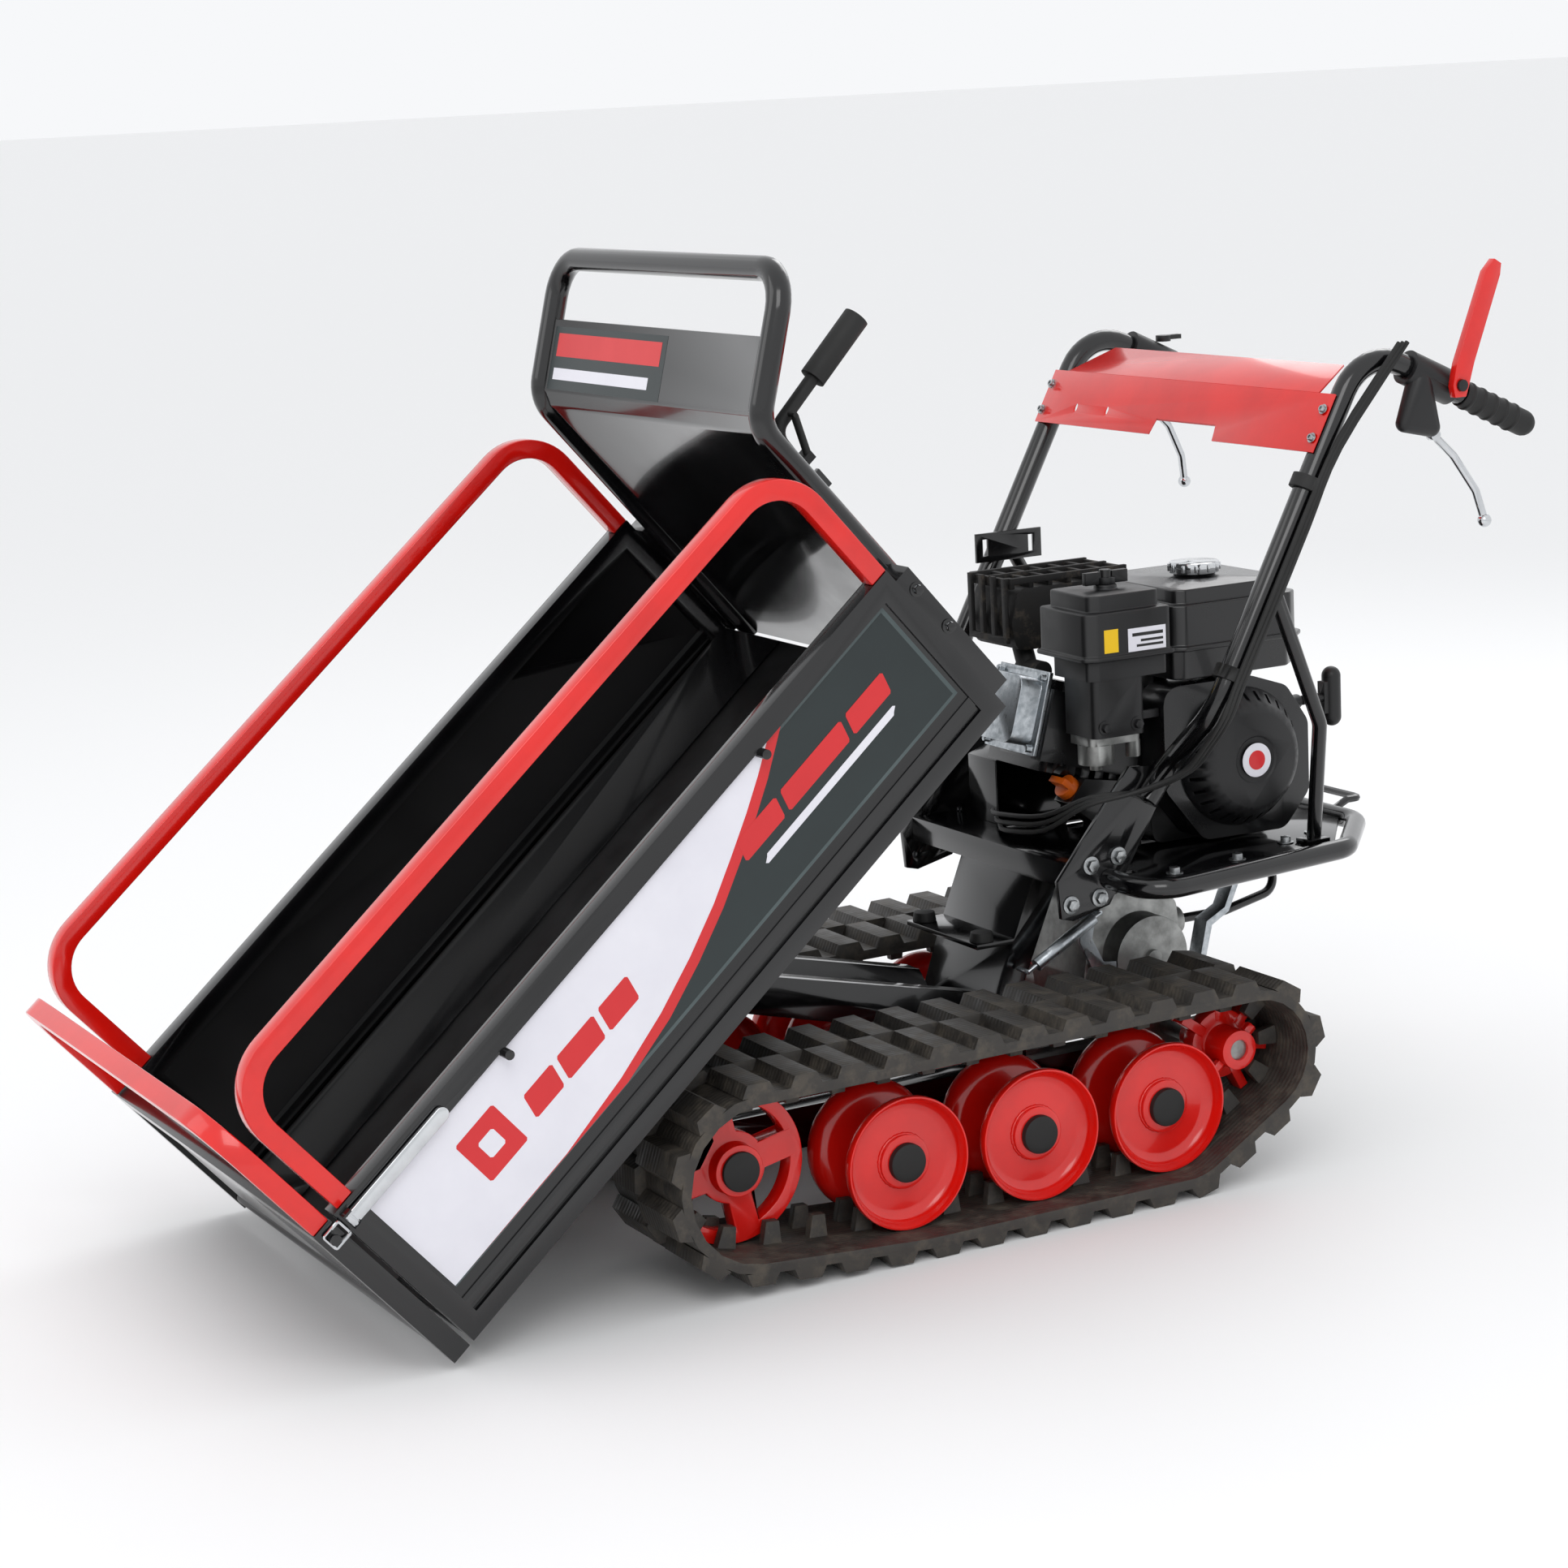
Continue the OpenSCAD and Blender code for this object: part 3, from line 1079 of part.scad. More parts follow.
chassis_frame();
track_left();
track_right();
gearbox();
gearbox_linkage();
drive_belt();
belt_guard();
engine_block();
valve_cover();
engine_shroud();
recoil_cover();
starter_rope();
starter_grip();
fuel_tank();
fuel_cap();
air_filter_cover();
filter_knob();
air_filter_base();
carburettor();
choke_lever();
dipstick();
muffler();
muffler_guard();
engine_deck();
deck_rail();
handle_tubes();
hood_panel();
hand_grips();
lever_housings();
control_cables();
frame_bolts();
bump_stops();
clutch_lever();
steering_lever_left();
steering_lever_right();
throttle_lever();
gear_lever();
sprocket_left();
sprocket_right();
idler_left();
idler_right();
roller_front_left();
roller_middle_left();
roller_rear_left();
roller_front_right();
roller_middle_right();
roller_rear_right();
bed_floor();
headboard();
side_panel_left();
side_panel_right();
side_rail_left();
side_rail_right();
gate_panel();
gate_rail();
gate_latch_left();
gate_latch_right();
gate_bail_left();
gate_bail_right();
tip_lever();
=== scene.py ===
"""Looks of a tracked power wheelbarrow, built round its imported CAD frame.

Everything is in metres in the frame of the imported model: +X is the dump end,
+Y the machine's left and the ground is at z = 0. Sizes in the classes are in
millimetres, stations along X counting from the middle roller.
"""

import json
import logging
import math
from dataclasses import dataclass
from enum import Enum
from typing import Callable, Dict, List, Optional, Sequence, Tuple

import bpy
from mathutils import Matrix, Vector


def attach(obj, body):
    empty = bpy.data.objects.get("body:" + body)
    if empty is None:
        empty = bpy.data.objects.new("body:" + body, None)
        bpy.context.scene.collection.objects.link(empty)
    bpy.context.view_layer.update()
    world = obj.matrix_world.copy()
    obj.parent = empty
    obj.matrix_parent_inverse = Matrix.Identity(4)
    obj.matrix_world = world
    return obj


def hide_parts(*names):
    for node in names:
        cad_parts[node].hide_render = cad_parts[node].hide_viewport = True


Point = Tuple[float, float, float]
Flat = Tuple[float, float]
Test = Callable[[Vector, Vector], bool]

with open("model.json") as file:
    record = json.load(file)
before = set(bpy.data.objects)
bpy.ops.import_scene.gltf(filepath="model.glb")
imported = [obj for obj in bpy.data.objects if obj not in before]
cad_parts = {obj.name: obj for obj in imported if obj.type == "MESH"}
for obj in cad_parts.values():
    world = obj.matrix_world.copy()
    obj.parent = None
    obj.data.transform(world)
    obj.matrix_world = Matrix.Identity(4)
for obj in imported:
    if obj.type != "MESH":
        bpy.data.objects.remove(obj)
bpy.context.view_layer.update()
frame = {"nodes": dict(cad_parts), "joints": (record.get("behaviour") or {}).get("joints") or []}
log = logging.getLogger("wheelbarrow")

MM = 0.001
# A wave texture of scale one turns by this many radians in one unit.
WAVE_RATE = 20
TIP_ANGLE = math.radians(40.8)
TIP_JOINT = next(j for j in frame["joints"] if j["name"] == "bed_tip")
CENTRE_X = TIP_JOINT["pos_m"][0] - 0.365


def at(x: float, y: float, z: float) -> Vector:
    """Gives the place in metres of a station in millimetres from the middle roller.

    Args:
        x: Station towards the dump end.
        y: Distance to the machine's left.
        z: Height above the ground.

    Returns:
        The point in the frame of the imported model.
    """
    return Vector((x * MM + CENTRE_X, y * MM, z * MM))


MACHINE = Matrix.Translation((CENTRE_X, 0.0, 0.0))
BED = (
    Matrix.Translation(at(365, 0, 318))
    @ Matrix.Rotation(TIP_ANGLE, 4, "Y")
    @ Matrix.Translation((-0.435, 0.0, 0.030))
)


# ------------------------------------------------------------------ finishes
def linear(code: str) -> Tuple[float, float, float, float]:
    """Turns an sRGB hex colour to the linear colour that a shader takes.

    Args:
        code: Six hex digits after a hash sign.

    Returns:
        Linear red, green and blue, and an alpha of one.
    """
    parts = [int(code[i : i + 2], 16) / 255 for i in (1, 3, 5)]
    red, green, blue = [p / 12.92 if p <= 0.04045 else ((p + 0.055) / 1.055) ** 2.4 for p in parts]
    return red, green, blue, 1.0


def add_node(
    tree: bpy.types.NodeTree, kind: str, inputs: Optional[Dict[object, object]] = None, **settings: object
) -> bpy.types.Node:
    """Adds one node with its settings and links.

    Args:
        tree: Node tree of the material.
        kind: Blender's name for the type of node.
        inputs: Socket name or number, with a constant or the socket that feeds it.
        settings: Properties of the node itself.

    Returns:
        The new node.
    """
    made = tree.nodes.new(kind)
    for key, value in settings.items():
        setattr(made, key, value)
    for key, value in (inputs or {}).items():
        if isinstance(value, bpy.types.NodeSocket):
            tree.links.new(value, made.inputs[key])
        else:
            made.inputs[key].default_value = value
    return made


class Kind(Enum):
    """How a surface treats light."""

    PAINT = "paint"
    METAL = "metal"
    PLASTIC = "plastic"
    RUBBER = "rubber"
    VINYL = "vinyl"


@dataclass(frozen=True)
class Finish:
    """One real finish, as nodes.

    Attributes:
        name: Common name of the finish.
        kind: How it treats light.
        colour: Its colour, as sRGB hex.
        other: The colour it drifts to in patches.
        rough: Lowest and highest roughness.
        patch_mm: Size of the patches of colour and sheen.
        grain_mm: Size of the fine relief.
        relief_mm: Height of the fine relief.
        coat: Weight of the clear layer over the colour.
        dust: Share of the surface that holds dust.
        dust_colour: Colour of that dust.
        ribs_mm: Width of a fine rib and of the groove next to it, or zero for none.
    """

    name: str
    kind: Kind
    colour: str
    other: str
    rough: Tuple[float, float]
    patch_mm: float = 60.0
    grain_mm: float = 1.0
    relief_mm: float = 0.02
    coat: float = 0.0
    dust: float = 0.0
    dust_colour: str = "#6f6456"
    ribs_mm: float = 0.0

    def material(self) -> bpy.types.Material:
        """Makes the material, or gives the one that was made before.

        Returns:
            The node material of this finish.
        """
        known = bpy.data.materials.get(self.name)
        if known:
            return known
        made = bpy.data.materials.new(self.name)
        made.use_nodes = True
        tree = made.node_tree
        tree.nodes.clear()
        shader = add_node(tree, "ShaderNodeBsdfPrincipled")
        add_node(tree, "ShaderNodeOutputMaterial", {"Surface": shader.outputs[0]})
        self.wire(tree, shader)
        return made

    def wire(self, tree: bpy.types.NodeTree, shader: bpy.types.Node) -> None:
        """Links colour, roughness and relief to the shader.

        Args:
            tree: Node tree of the material.
            shader: Its principled shader.
        """
        place = add_node(tree, "ShaderNodeTexCoord").outputs["Object"]
        patches = add_node(
            tree,
            "ShaderNodeTexNoise",
            {"Vector": place, "Scale": 1000 / self.patch_mm, "Detail": 5.0, "Roughness": 0.6},
        ).outputs["Fac"]
        grain = add_node(
            tree,
            "ShaderNodeTexNoise",
            {"Vector": place, "Scale": 1000 / self.grain_mm, "Detail": 2.0},
        ).outputs["Fac"]
        spread = add_node(
            tree,
            "ShaderNodeMapRange",
            {"Value": patches, "From Min": 0.35, "From Max": 0.68},
        ).outputs["Result"]
        tint = add_node(
            tree,
            "ShaderNodeMix",
            {0: spread, 6: linear(self.colour), 7: linear(self.other)},
            data_type="RGBA",
        ).outputs[2]
        roughness = add_node(
            tree,
            "ShaderNodeMapRange",
            {
                "Value": patches,
                "From Min": 0.3,
                "From Max": 0.7,
                "To Min": self.rough[0],
                "To Max": self.rough[1],
            },
        ).outputs["Result"]
        if self.dust:
            tint, roughness = self.dusty(tree, place, tint, roughness)
        tree.links.new(tint, shader.inputs["Base Color"])
        tree.links.new(roughness, shader.inputs["Roughness"])
        height = grain
        if self.ribs_mm:
            height = self.ribbed(tree, place, grain)
        bump = add_node(
            tree,
            "ShaderNodeBump",
            {"Height": height, "Distance": self.relief_mm * MM, "Strength": 1.0},
        )
        tree.links.new(bump.outputs["Normal"], shader.inputs["Normal"])
        if self.kind is Kind.METAL:
            shader.inputs["Metallic"].default_value = 1.0
        else:
            shader.inputs["IOR"].default_value = 1.5
        if self.coat:
            shader.inputs["Coat Weight"].default_value = self.coat
            shader.inputs["Coat Roughness"].default_value = 0.06

    def dusty(
        self,
        tree: bpy.types.NodeTree,
        place: bpy.types.NodeSocket,
        tint: bpy.types.NodeSocket,
        roughness: bpy.types.NodeSocket,
    ) -> Tuple[bpy.types.NodeSocket, bpy.types.NodeSocket]:
        """Lays thin dust in clouds over the colour.

        Args:
            tree: Node tree of the material.
            place: Object coordinates.
            tint: Colour under the dust.
            roughness: Roughness under the dust.

        Returns:
            Colour and roughness with the dust on them.
        """
        cloud = add_node(
            tree,
            "ShaderNodeTexNoise",
            {"Vector": place, "Scale": 34.0, "Detail": 8.0, "Roughness": 0.7},
        ).outputs["Fac"]
        cover = add_node(
            tree,
            "ShaderNodeMapRange",
            {"Value": cloud, "From Min": 0.62 - 0.3 * self.dust, "From Max": 0.85, "To Max": 0.8},
        ).outputs["Result"]
        dusted = add_node(
            tree,
            "ShaderNodeMix",
            {0: cover, 6: tint, 7: linear(self.dust_colour)},
            data_type="RGBA",
        ).outputs[2]
        dull = add_node(
            tree,
            "ShaderNodeMix",
            {0: cover, 2: roughness, 3: 0.95},
            data_type="FLOAT",
        ).outputs[0]
        return dusted, dull

    def ribbed(
        self, tree: bpy.types.NodeTree, place: bpy.types.NodeSocket, grain: bpy.types.NodeSocket
    ) -> bpy.types.NodeSocket:
        """Adds fine parallel ribs across the machine to the grain.

        Args:
            tree: Node tree of the material.
            place: Object coordinates.
            grain: Height of the fine grain.

        Returns:
            The height of ribs and grain together.
        """
        wave = add_node(
            tree,
            "ShaderNodeTexWave",
            {"Vector": place, "Scale": math.pi / WAVE_RATE / (self.ribs_mm * MM), "Distortion": 0.0},
            bands_direction="Y",
        ).outputs["Fac"]
        return add_node(
            tree, "ShaderNodeMix", {0: 0.3, 2: wave, 3: grain}, data_type="FLOAT"
        ).outputs[0]


# Powder coat over folded and welded steel: a deep, even red with a wet gloss
# and a faint orange peel about two millimetres across.
RED = Finish("gloss_red_powder_coat", Kind.PAINT, "#e0150b", "#cf1009", (0.16, 0.26), 90, 2.2, 0.006, 0.5)
# The same coat in black: tubes and panels mirror the lights in soft bands.
BLACK = Finish(
    "gloss_black_powder_coat", Kind.PAINT, "#060607", "#0a0a0c", (0.12, 0.22), 120, 2.2, 0.004, 0.4,
)
# Satin black on the bed's inner sheets, a little scuffed by loads.
SATIN = Finish("satin_black_sheet_paint", Kind.PAINT, "#070708", "#0c0d0e", (0.32, 0.5), 70, 1.6, 0.008)
# Moulded track rubber: brown-grey, dull, with fine ribs and grooves 3.4 mm wide.
TREAD = Finish(
    "moulded_track_rubber", Kind.RUBBER, "#2b2825", "#3a3631", (0.42, 0.66), 25, 1.2, 0.45, 0.0, 0.45,
    "#6a6154", 3.4,
)
# Soft black rubber of grips, caps and stops: fine pimples, no sharp gleam.
GRIP = Finish("soft_black_rubber", Kind.RUBBER, "#101010", "#191918", (0.55, 0.7), 30, 0.9, 0.06)
# Moulded black plastic with a fine spark-eroded texture.
PLASTIC = Finish(
    "textured_black_polypropylene", Kind.PLASTIC, "#0d0d0e", "#131315", (0.36, 0.5), 45, 0.8, 0.02,
)
# Stove paint on the fan shroud and tank: semi-gloss black.
STOVE = Finish(
    "semi_gloss_engine_paint", Kind.PAINT, "#0a0a0b", "#0f0f11", (0.24, 0.36), 60, 1.4, 0.006, 0.25,
)
# Die-cast aluminium, tumbled: pale grey with a fine sandy skin.
CASTING = Finish("die_cast_aluminium", Kind.METAL, "#a9aaa8", "#8d8e8c", (0.38, 0.58), 22, 0.9, 0.07)
# Hot-dip zinc on small brackets: pale, with crystals about 8 mm across.
ZINC = Finish("galvanised_steel", Kind.METAL, "#c3c8cc", "#9fa6ab", (0.25, 0.45), 8, 2.5, 0.02)
# Bright chrome plate on levers, caps and wire.
CHROME = Finish("chrome_plated_steel", Kind.METAL, "#d6d8da", "#c4c7ca", (0.06, 0.14), 40, 3.0, 0.004)
# Bolts of bright zinc-plated steel.
BOLT = Finish("zinc_plated_bolt_steel", Kind.METAL, "#b4b7b8", "#96999b", (0.22, 0.38), 6, 0.8, 0.02)
# Heat-proof paint on the silencer: dead black, slightly sandy.
HEAT = Finish(
    "heat_proof_silencer_paint", Kind.PAINT, "#0a0a0a", "#161413", (0.6, 0.8), 30, 0.7, 0.06, 0.0,
    0.25,
)
# Moulded orange nylon of the oil dipstick.
ORANGE = Finish("orange_nylon", Kind.PLASTIC, "#e0660c", "#cf5a08", (0.32, 0.45), 30, 0.7, 0.03)
# Printed vinyl films on the panels.
FIELD = Finish("dark_green_grey_vinyl", Kind.VINYL, "#1a2425", "#1f2a2b", (0.3, 0.4), 150, 3.0, 0.006)
BORDER = Finish("grey_line_on_vinyl", Kind.VINYL, "#4a5657", "#424e4f", (0.32, 0.4), 100, 3.0, 0.006)
WHITE = Finish("white_vinyl_print", Kind.VINYL, "#e4e3ea", "#dcdbe3", (0.26, 0.36), 150, 3.0, 0.006)
SCARLET = Finish("red_vinyl_print", Kind.VINYL, "#d3262a", "#c92227", (0.28, 0.38), 150, 3.0, 0.006)
YELLOW = Finish("yellow_vinyl_label", Kind.VINYL, "#f0c419", "#e8bb14", (0.3, 0.4), 100, 3.0, 0.006)
INK = Finish("black_label_print", Kind.VINYL, "#141414", "#1c1c1c", (0.4, 0.5), 80, 3.0, 0.004)
# Drive belt: fabric-backed rubber.
BELT = Finish("fabric_backed_belt_rubber", Kind.RUBBER, "#151414", "#201e1d", (0.6, 0.8), 20, 1.0, 0.08)


# ------------------------------------------------------------------ hand tools
def bare() -> None:
    """Deselects every object."""
    for obj in list(bpy.context.selected_objects):
        obj.select_set(False)


def only(obj: bpy.types.Object) -> None:
    """Makes obj the one selected and active object."""
    bare()
    obj.select_set(True)
    bpy.context.view_layer.objects.active = obj


def settle(obj: bpy.types.Object, name: str) -> bpy.types.Object:
    """Names obj and applies its place, turn and size to its mesh."""
    only(obj)
    bpy.ops.object.transform_apply(location=True, rotation=True, scale=True)
    obj.name = obj.data.name = name
    return obj


def bevelled(
    obj: bpy.types.Object, width_mm: float, steps: int = 2, limit: float = 40.0
) -> bpy.types.Object:
    """Rounds the sharp edges of obj with an applied bevel.

    Args:
        obj: Mesh object.
        width_mm: Width of the rounding.
        steps: Faces across it.
        limit: Smallest angle between faces that is rounded, in degrees.

    Returns:
        The same object.
    """
    only(obj)
    tool = obj.modifiers.new("edge", "BEVEL")
    tool.width = width_mm * MM
    tool.segments = steps
    tool.limit_method = "ANGLE"
    tool.angle_limit = math.radians(limit)
    bpy.ops.object.modifier_apply(modifier=tool.name)
    return obj


def smoothed(obj: bpy.types.Object, angle: float = 40.0) -> bpy.types.Object:
    """Shades obj smooth where its faces meet at less than angle degrees."""
    only(obj)
    bpy.ops.object.shade_smooth_by_angle(angle=math.radians(angle))
    return obj


def outward(obj: bpy.types.Object) -> bpy.types.Object:
    """Merges doubles and turns every face of obj outwards."""
    only(obj)
    bpy.ops.object.mode_set(mode="EDIT")
    bpy.ops.mesh.select_all(action="SELECT")
    bpy.ops.mesh.remove_doubles(threshold=1e-6)
    bpy.ops.mesh.normals_make_consistent(inside=False)
    bpy.ops.object.mode_set(mode="OBJECT")
    return obj


def dress(
    obj: bpy.types.Object, finish: Finish, body: str, stands_for: Sequence[str] = ()
) -> bpy.types.Object:
    """Gives a finished piece its material and body.

    Args:
        obj: The piece.
        finish: Its finish.
        body: CAD body it rides on.
        stands_for: CAD nodes it replaces.

    Returns:
        The same object.
    """
    obj.data.materials.clear()
    obj.data.materials.append(finish.material())
    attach(obj, body)
    if stands_for:
        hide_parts(*stands_for)
    return obj


def second_finish(obj: bpy.types.Object, finish: Finish, wanted: Test) -> None:
    """Gives some faces of a dressed piece another finish.

    Args:
        obj: The piece.
        finish: The other finish.
        wanted: Test on a face's middle and normal.
    """
    obj.data.materials.append(finish.material())
    for face in obj.data.polygons:
        if wanted(face.center, face.normal):
            face.material_index = len(obj.data.materials) - 1


def refined(node: str, edge_mm: float = 0.8, steps: int = 2, limit: float = 40.0) -> bpy.types.Object:
    """Copies a CAD node, cleans its triangles and rounds its edges.

    Args:
        node: Name of the CAD node.
        edge_mm: Width of the rounding.
        steps: Faces across the rounding.
        limit: Smallest angle that is rounded and kept sharp in shading.

    Returns:
        The new object, with no place in the frame's tree yet.
    """
    source = frame["nodes"][node]
    copy = bpy.data.objects.new(node + "_finished", source.data.copy())
    bpy.context.scene.collection.objects.link(copy)
    only(copy)
    bpy.ops.object.mode_set(mode="EDIT")
    bpy.ops.mesh.select_all(action="SELECT")
    bpy.ops.mesh.remove_doubles(threshold=2e-6)
    bpy.ops.mesh.dissolve_limited(angle_limit=math.radians(1.0))
    bpy.ops.object.mode_set(mode="OBJECT")
    if edge_mm:
        bevelled(copy, edge_mm, steps, limit)
    return smoothed(copy, limit)


def plate(
    name: str, outline: Sequence[Flat], depth_mm: float, place: Matrix
) -> bpy.types.Object:
    """Makes a flat plate from its outline.

    Args:
        name: Name of the piece.
        outline: Corners in the plate's own X and Z, in millimetres.
        depth_mm: Thickness along its own Y.
        place: Where the plate's own origin goes.

    Returns:
        The plate, its mesh in place.
    """
    bare()
    bpy.ops.mesh.primitive_circle_add(vertices=len(outline), radius=0.01, fill_type="NGON")
    obj = bpy.context.object
    for vertex, (x, z) in zip(obj.data.vertices, outline):
        vertex.co = (x * MM, 0.0, z * MM)
    only(obj)
    bpy.ops.object.mode_set(mode="EDIT")
    bpy.ops.mesh.select_all(action="SELECT")
    bpy.ops.mesh.extrude_region_move(TRANSFORM_OT_translate={"value": (0.0, depth_mm * MM, 0.0)})
    bpy.ops.object.mode_set(mode="OBJECT")
    obj.matrix_world = place
    settle(obj, name)
    return outward(obj)


def turned(name: str, profile: Sequence[Flat], place: Matrix, sides: int = 48) -> bpy.types.Object:
    """Turns a piece on its own Z axis, by drawing a disc out step by step.

    Args:
        name: Name of the piece.
        profile: Radius and height of each step, in millimetres, from the first end to the last.
        place: Where the piece's own origin goes.
        sides: Faces round it.

    Returns:
        The piece, its mesh in place.
    """
    bare()
    first = profile[0]
    bpy.ops.mesh.primitive_circle_add(
        vertices=sides, radius=first[0] * MM, fill_type="NGON", location=(0, 0, first[1] * MM)
    )
    obj = bpy.context.object
    bpy.ops.object.transform_apply(location=True)
    bpy.ops.object.mode_set(mode="EDIT")
    bpy.ops.mesh.select_all(action="SELECT")
    last = first
    for radius, height in profile[1:]:
        rise = (0, 0, (height - last[1]) * MM)
        bpy.ops.mesh.extrude_region_move(TRANSFORM_OT_translate={"value": rise})
        share = radius / last[0]
        bpy.ops.transform.resize(value=(share, share, 1.0), center_override=(0, 0, height * MM))
        last = (radius, height)
    bpy.ops.object.mode_set(mode="OBJECT")
    obj.matrix_world = place
    settle(obj, name)
    return smoothed(outward(obj), 35)


def rounded_route(points: Sequence[Point], bend: float, steps: int = 8) -> List[Vector]:
    """Rounds the corners of a route.

    Args:
        points: Corners of the route, in millimetres.
        bend: Radius of the bends.
        steps: Pieces in each bend.

    Returns:
        Points of the rounded route.
    """
    route = [Vector(p) for p in points]
    made = [route[0]]
    for a, b, c in zip(route, route[1:], route[2:]):
        u, v = (a - b).normalized(), (c - b).normalized()
        half = u.angle(v) / 2
        if bend <= 0 or half > math.radians(89):
            made.append(b)
            continue
        reach = min(bend / math.tan(half), 0.49 * (a - b).length, 0.49 * (c - b).length)
        radius = reach * math.tan(half)
        middle = b + (u + v).normalized() * (radius / math.sin(half))
        p, q = b + u * reach - middle, b + v * reach - middle
        for i in range(steps + 1):
            made.append(middle + p.slerp(q, i / steps).normalized() * radius)
    made.append(route[-1])
    return made


def tube(
    name: str,
    points: Sequence[Point],
    radius_mm: float,
    bend_mm: float,
    place: Matrix = MACHINE,
    sides: int = 6,
) -> bpy.types.Object:
    """Bends a round tube along a route and caps its ends.

    Args:
        name: Name of the piece.
        points: Corners of the route, in millimetres.
        radius_mm: Radius of the tube.
        bend_mm: Radius of its bends.
        place: Frame of the points.
        sides: Steps in a quarter turn of its section.

    Returns:
        The tube as a mesh, in place.
    """
    bare()
    bpy.ops.curve.primitive_bezier_curve_add()
    obj = bpy.context.object
    obj.data.splines.clear()
    route = rounded_route(points, bend_mm)
    line = obj.data.splines.new("POLY")
    line.points.add(len(route) - 1)
    for spot, point in zip(line.points, route):
        spot.co = (*(point * MM), 1.0)
    obj.data.bevel_depth = radius_mm * MM
    obj.data.bevel_resolution = sides - 1
    obj.data.use_fill_caps = True
    only(obj)
    bpy.ops.object.convert(target="MESH")
    obj = bpy.context.object
    obj.matrix_world = place
    settle(obj, name)
    outward(obj)
    return smoothed(obj, 35)


def facing(origin: Vector, axis: Vector) -> Matrix:
    """Gives a frame at origin whose Z points along axis."""
    return Matrix.Translation(origin) @ axis.to_track_quat("Z", "Y").to_matrix().to_4x4()


def capped_bolt(name: str, origin: Vector, axis: Vector, radius_mm: float) -> bpy.types.Object:
    """Makes a socket-head bolt with a rounded rim and a round recess, on its washer.

    Args:
        name: Name of the piece.
        origin: Middle of the face it sits on.
        axis: Direction it sticks out.
        radius_mm: Radius of its head.

    Returns:
        The bolt and its washer as one piece.
    """
    r = radius_mm
    washer = [(r * 1.5, 0.0), (r * 1.5, 1.2)]
    head = [(r, 1.21), (r, r * 0.95), (r * 0.9, r * 1.1)]
    recess = [(r * 0.52, r * 1.1), (r * 0.5, r * 0.6)]
    return turned(name, washer + head + recess, facing(origin, axis), 24)


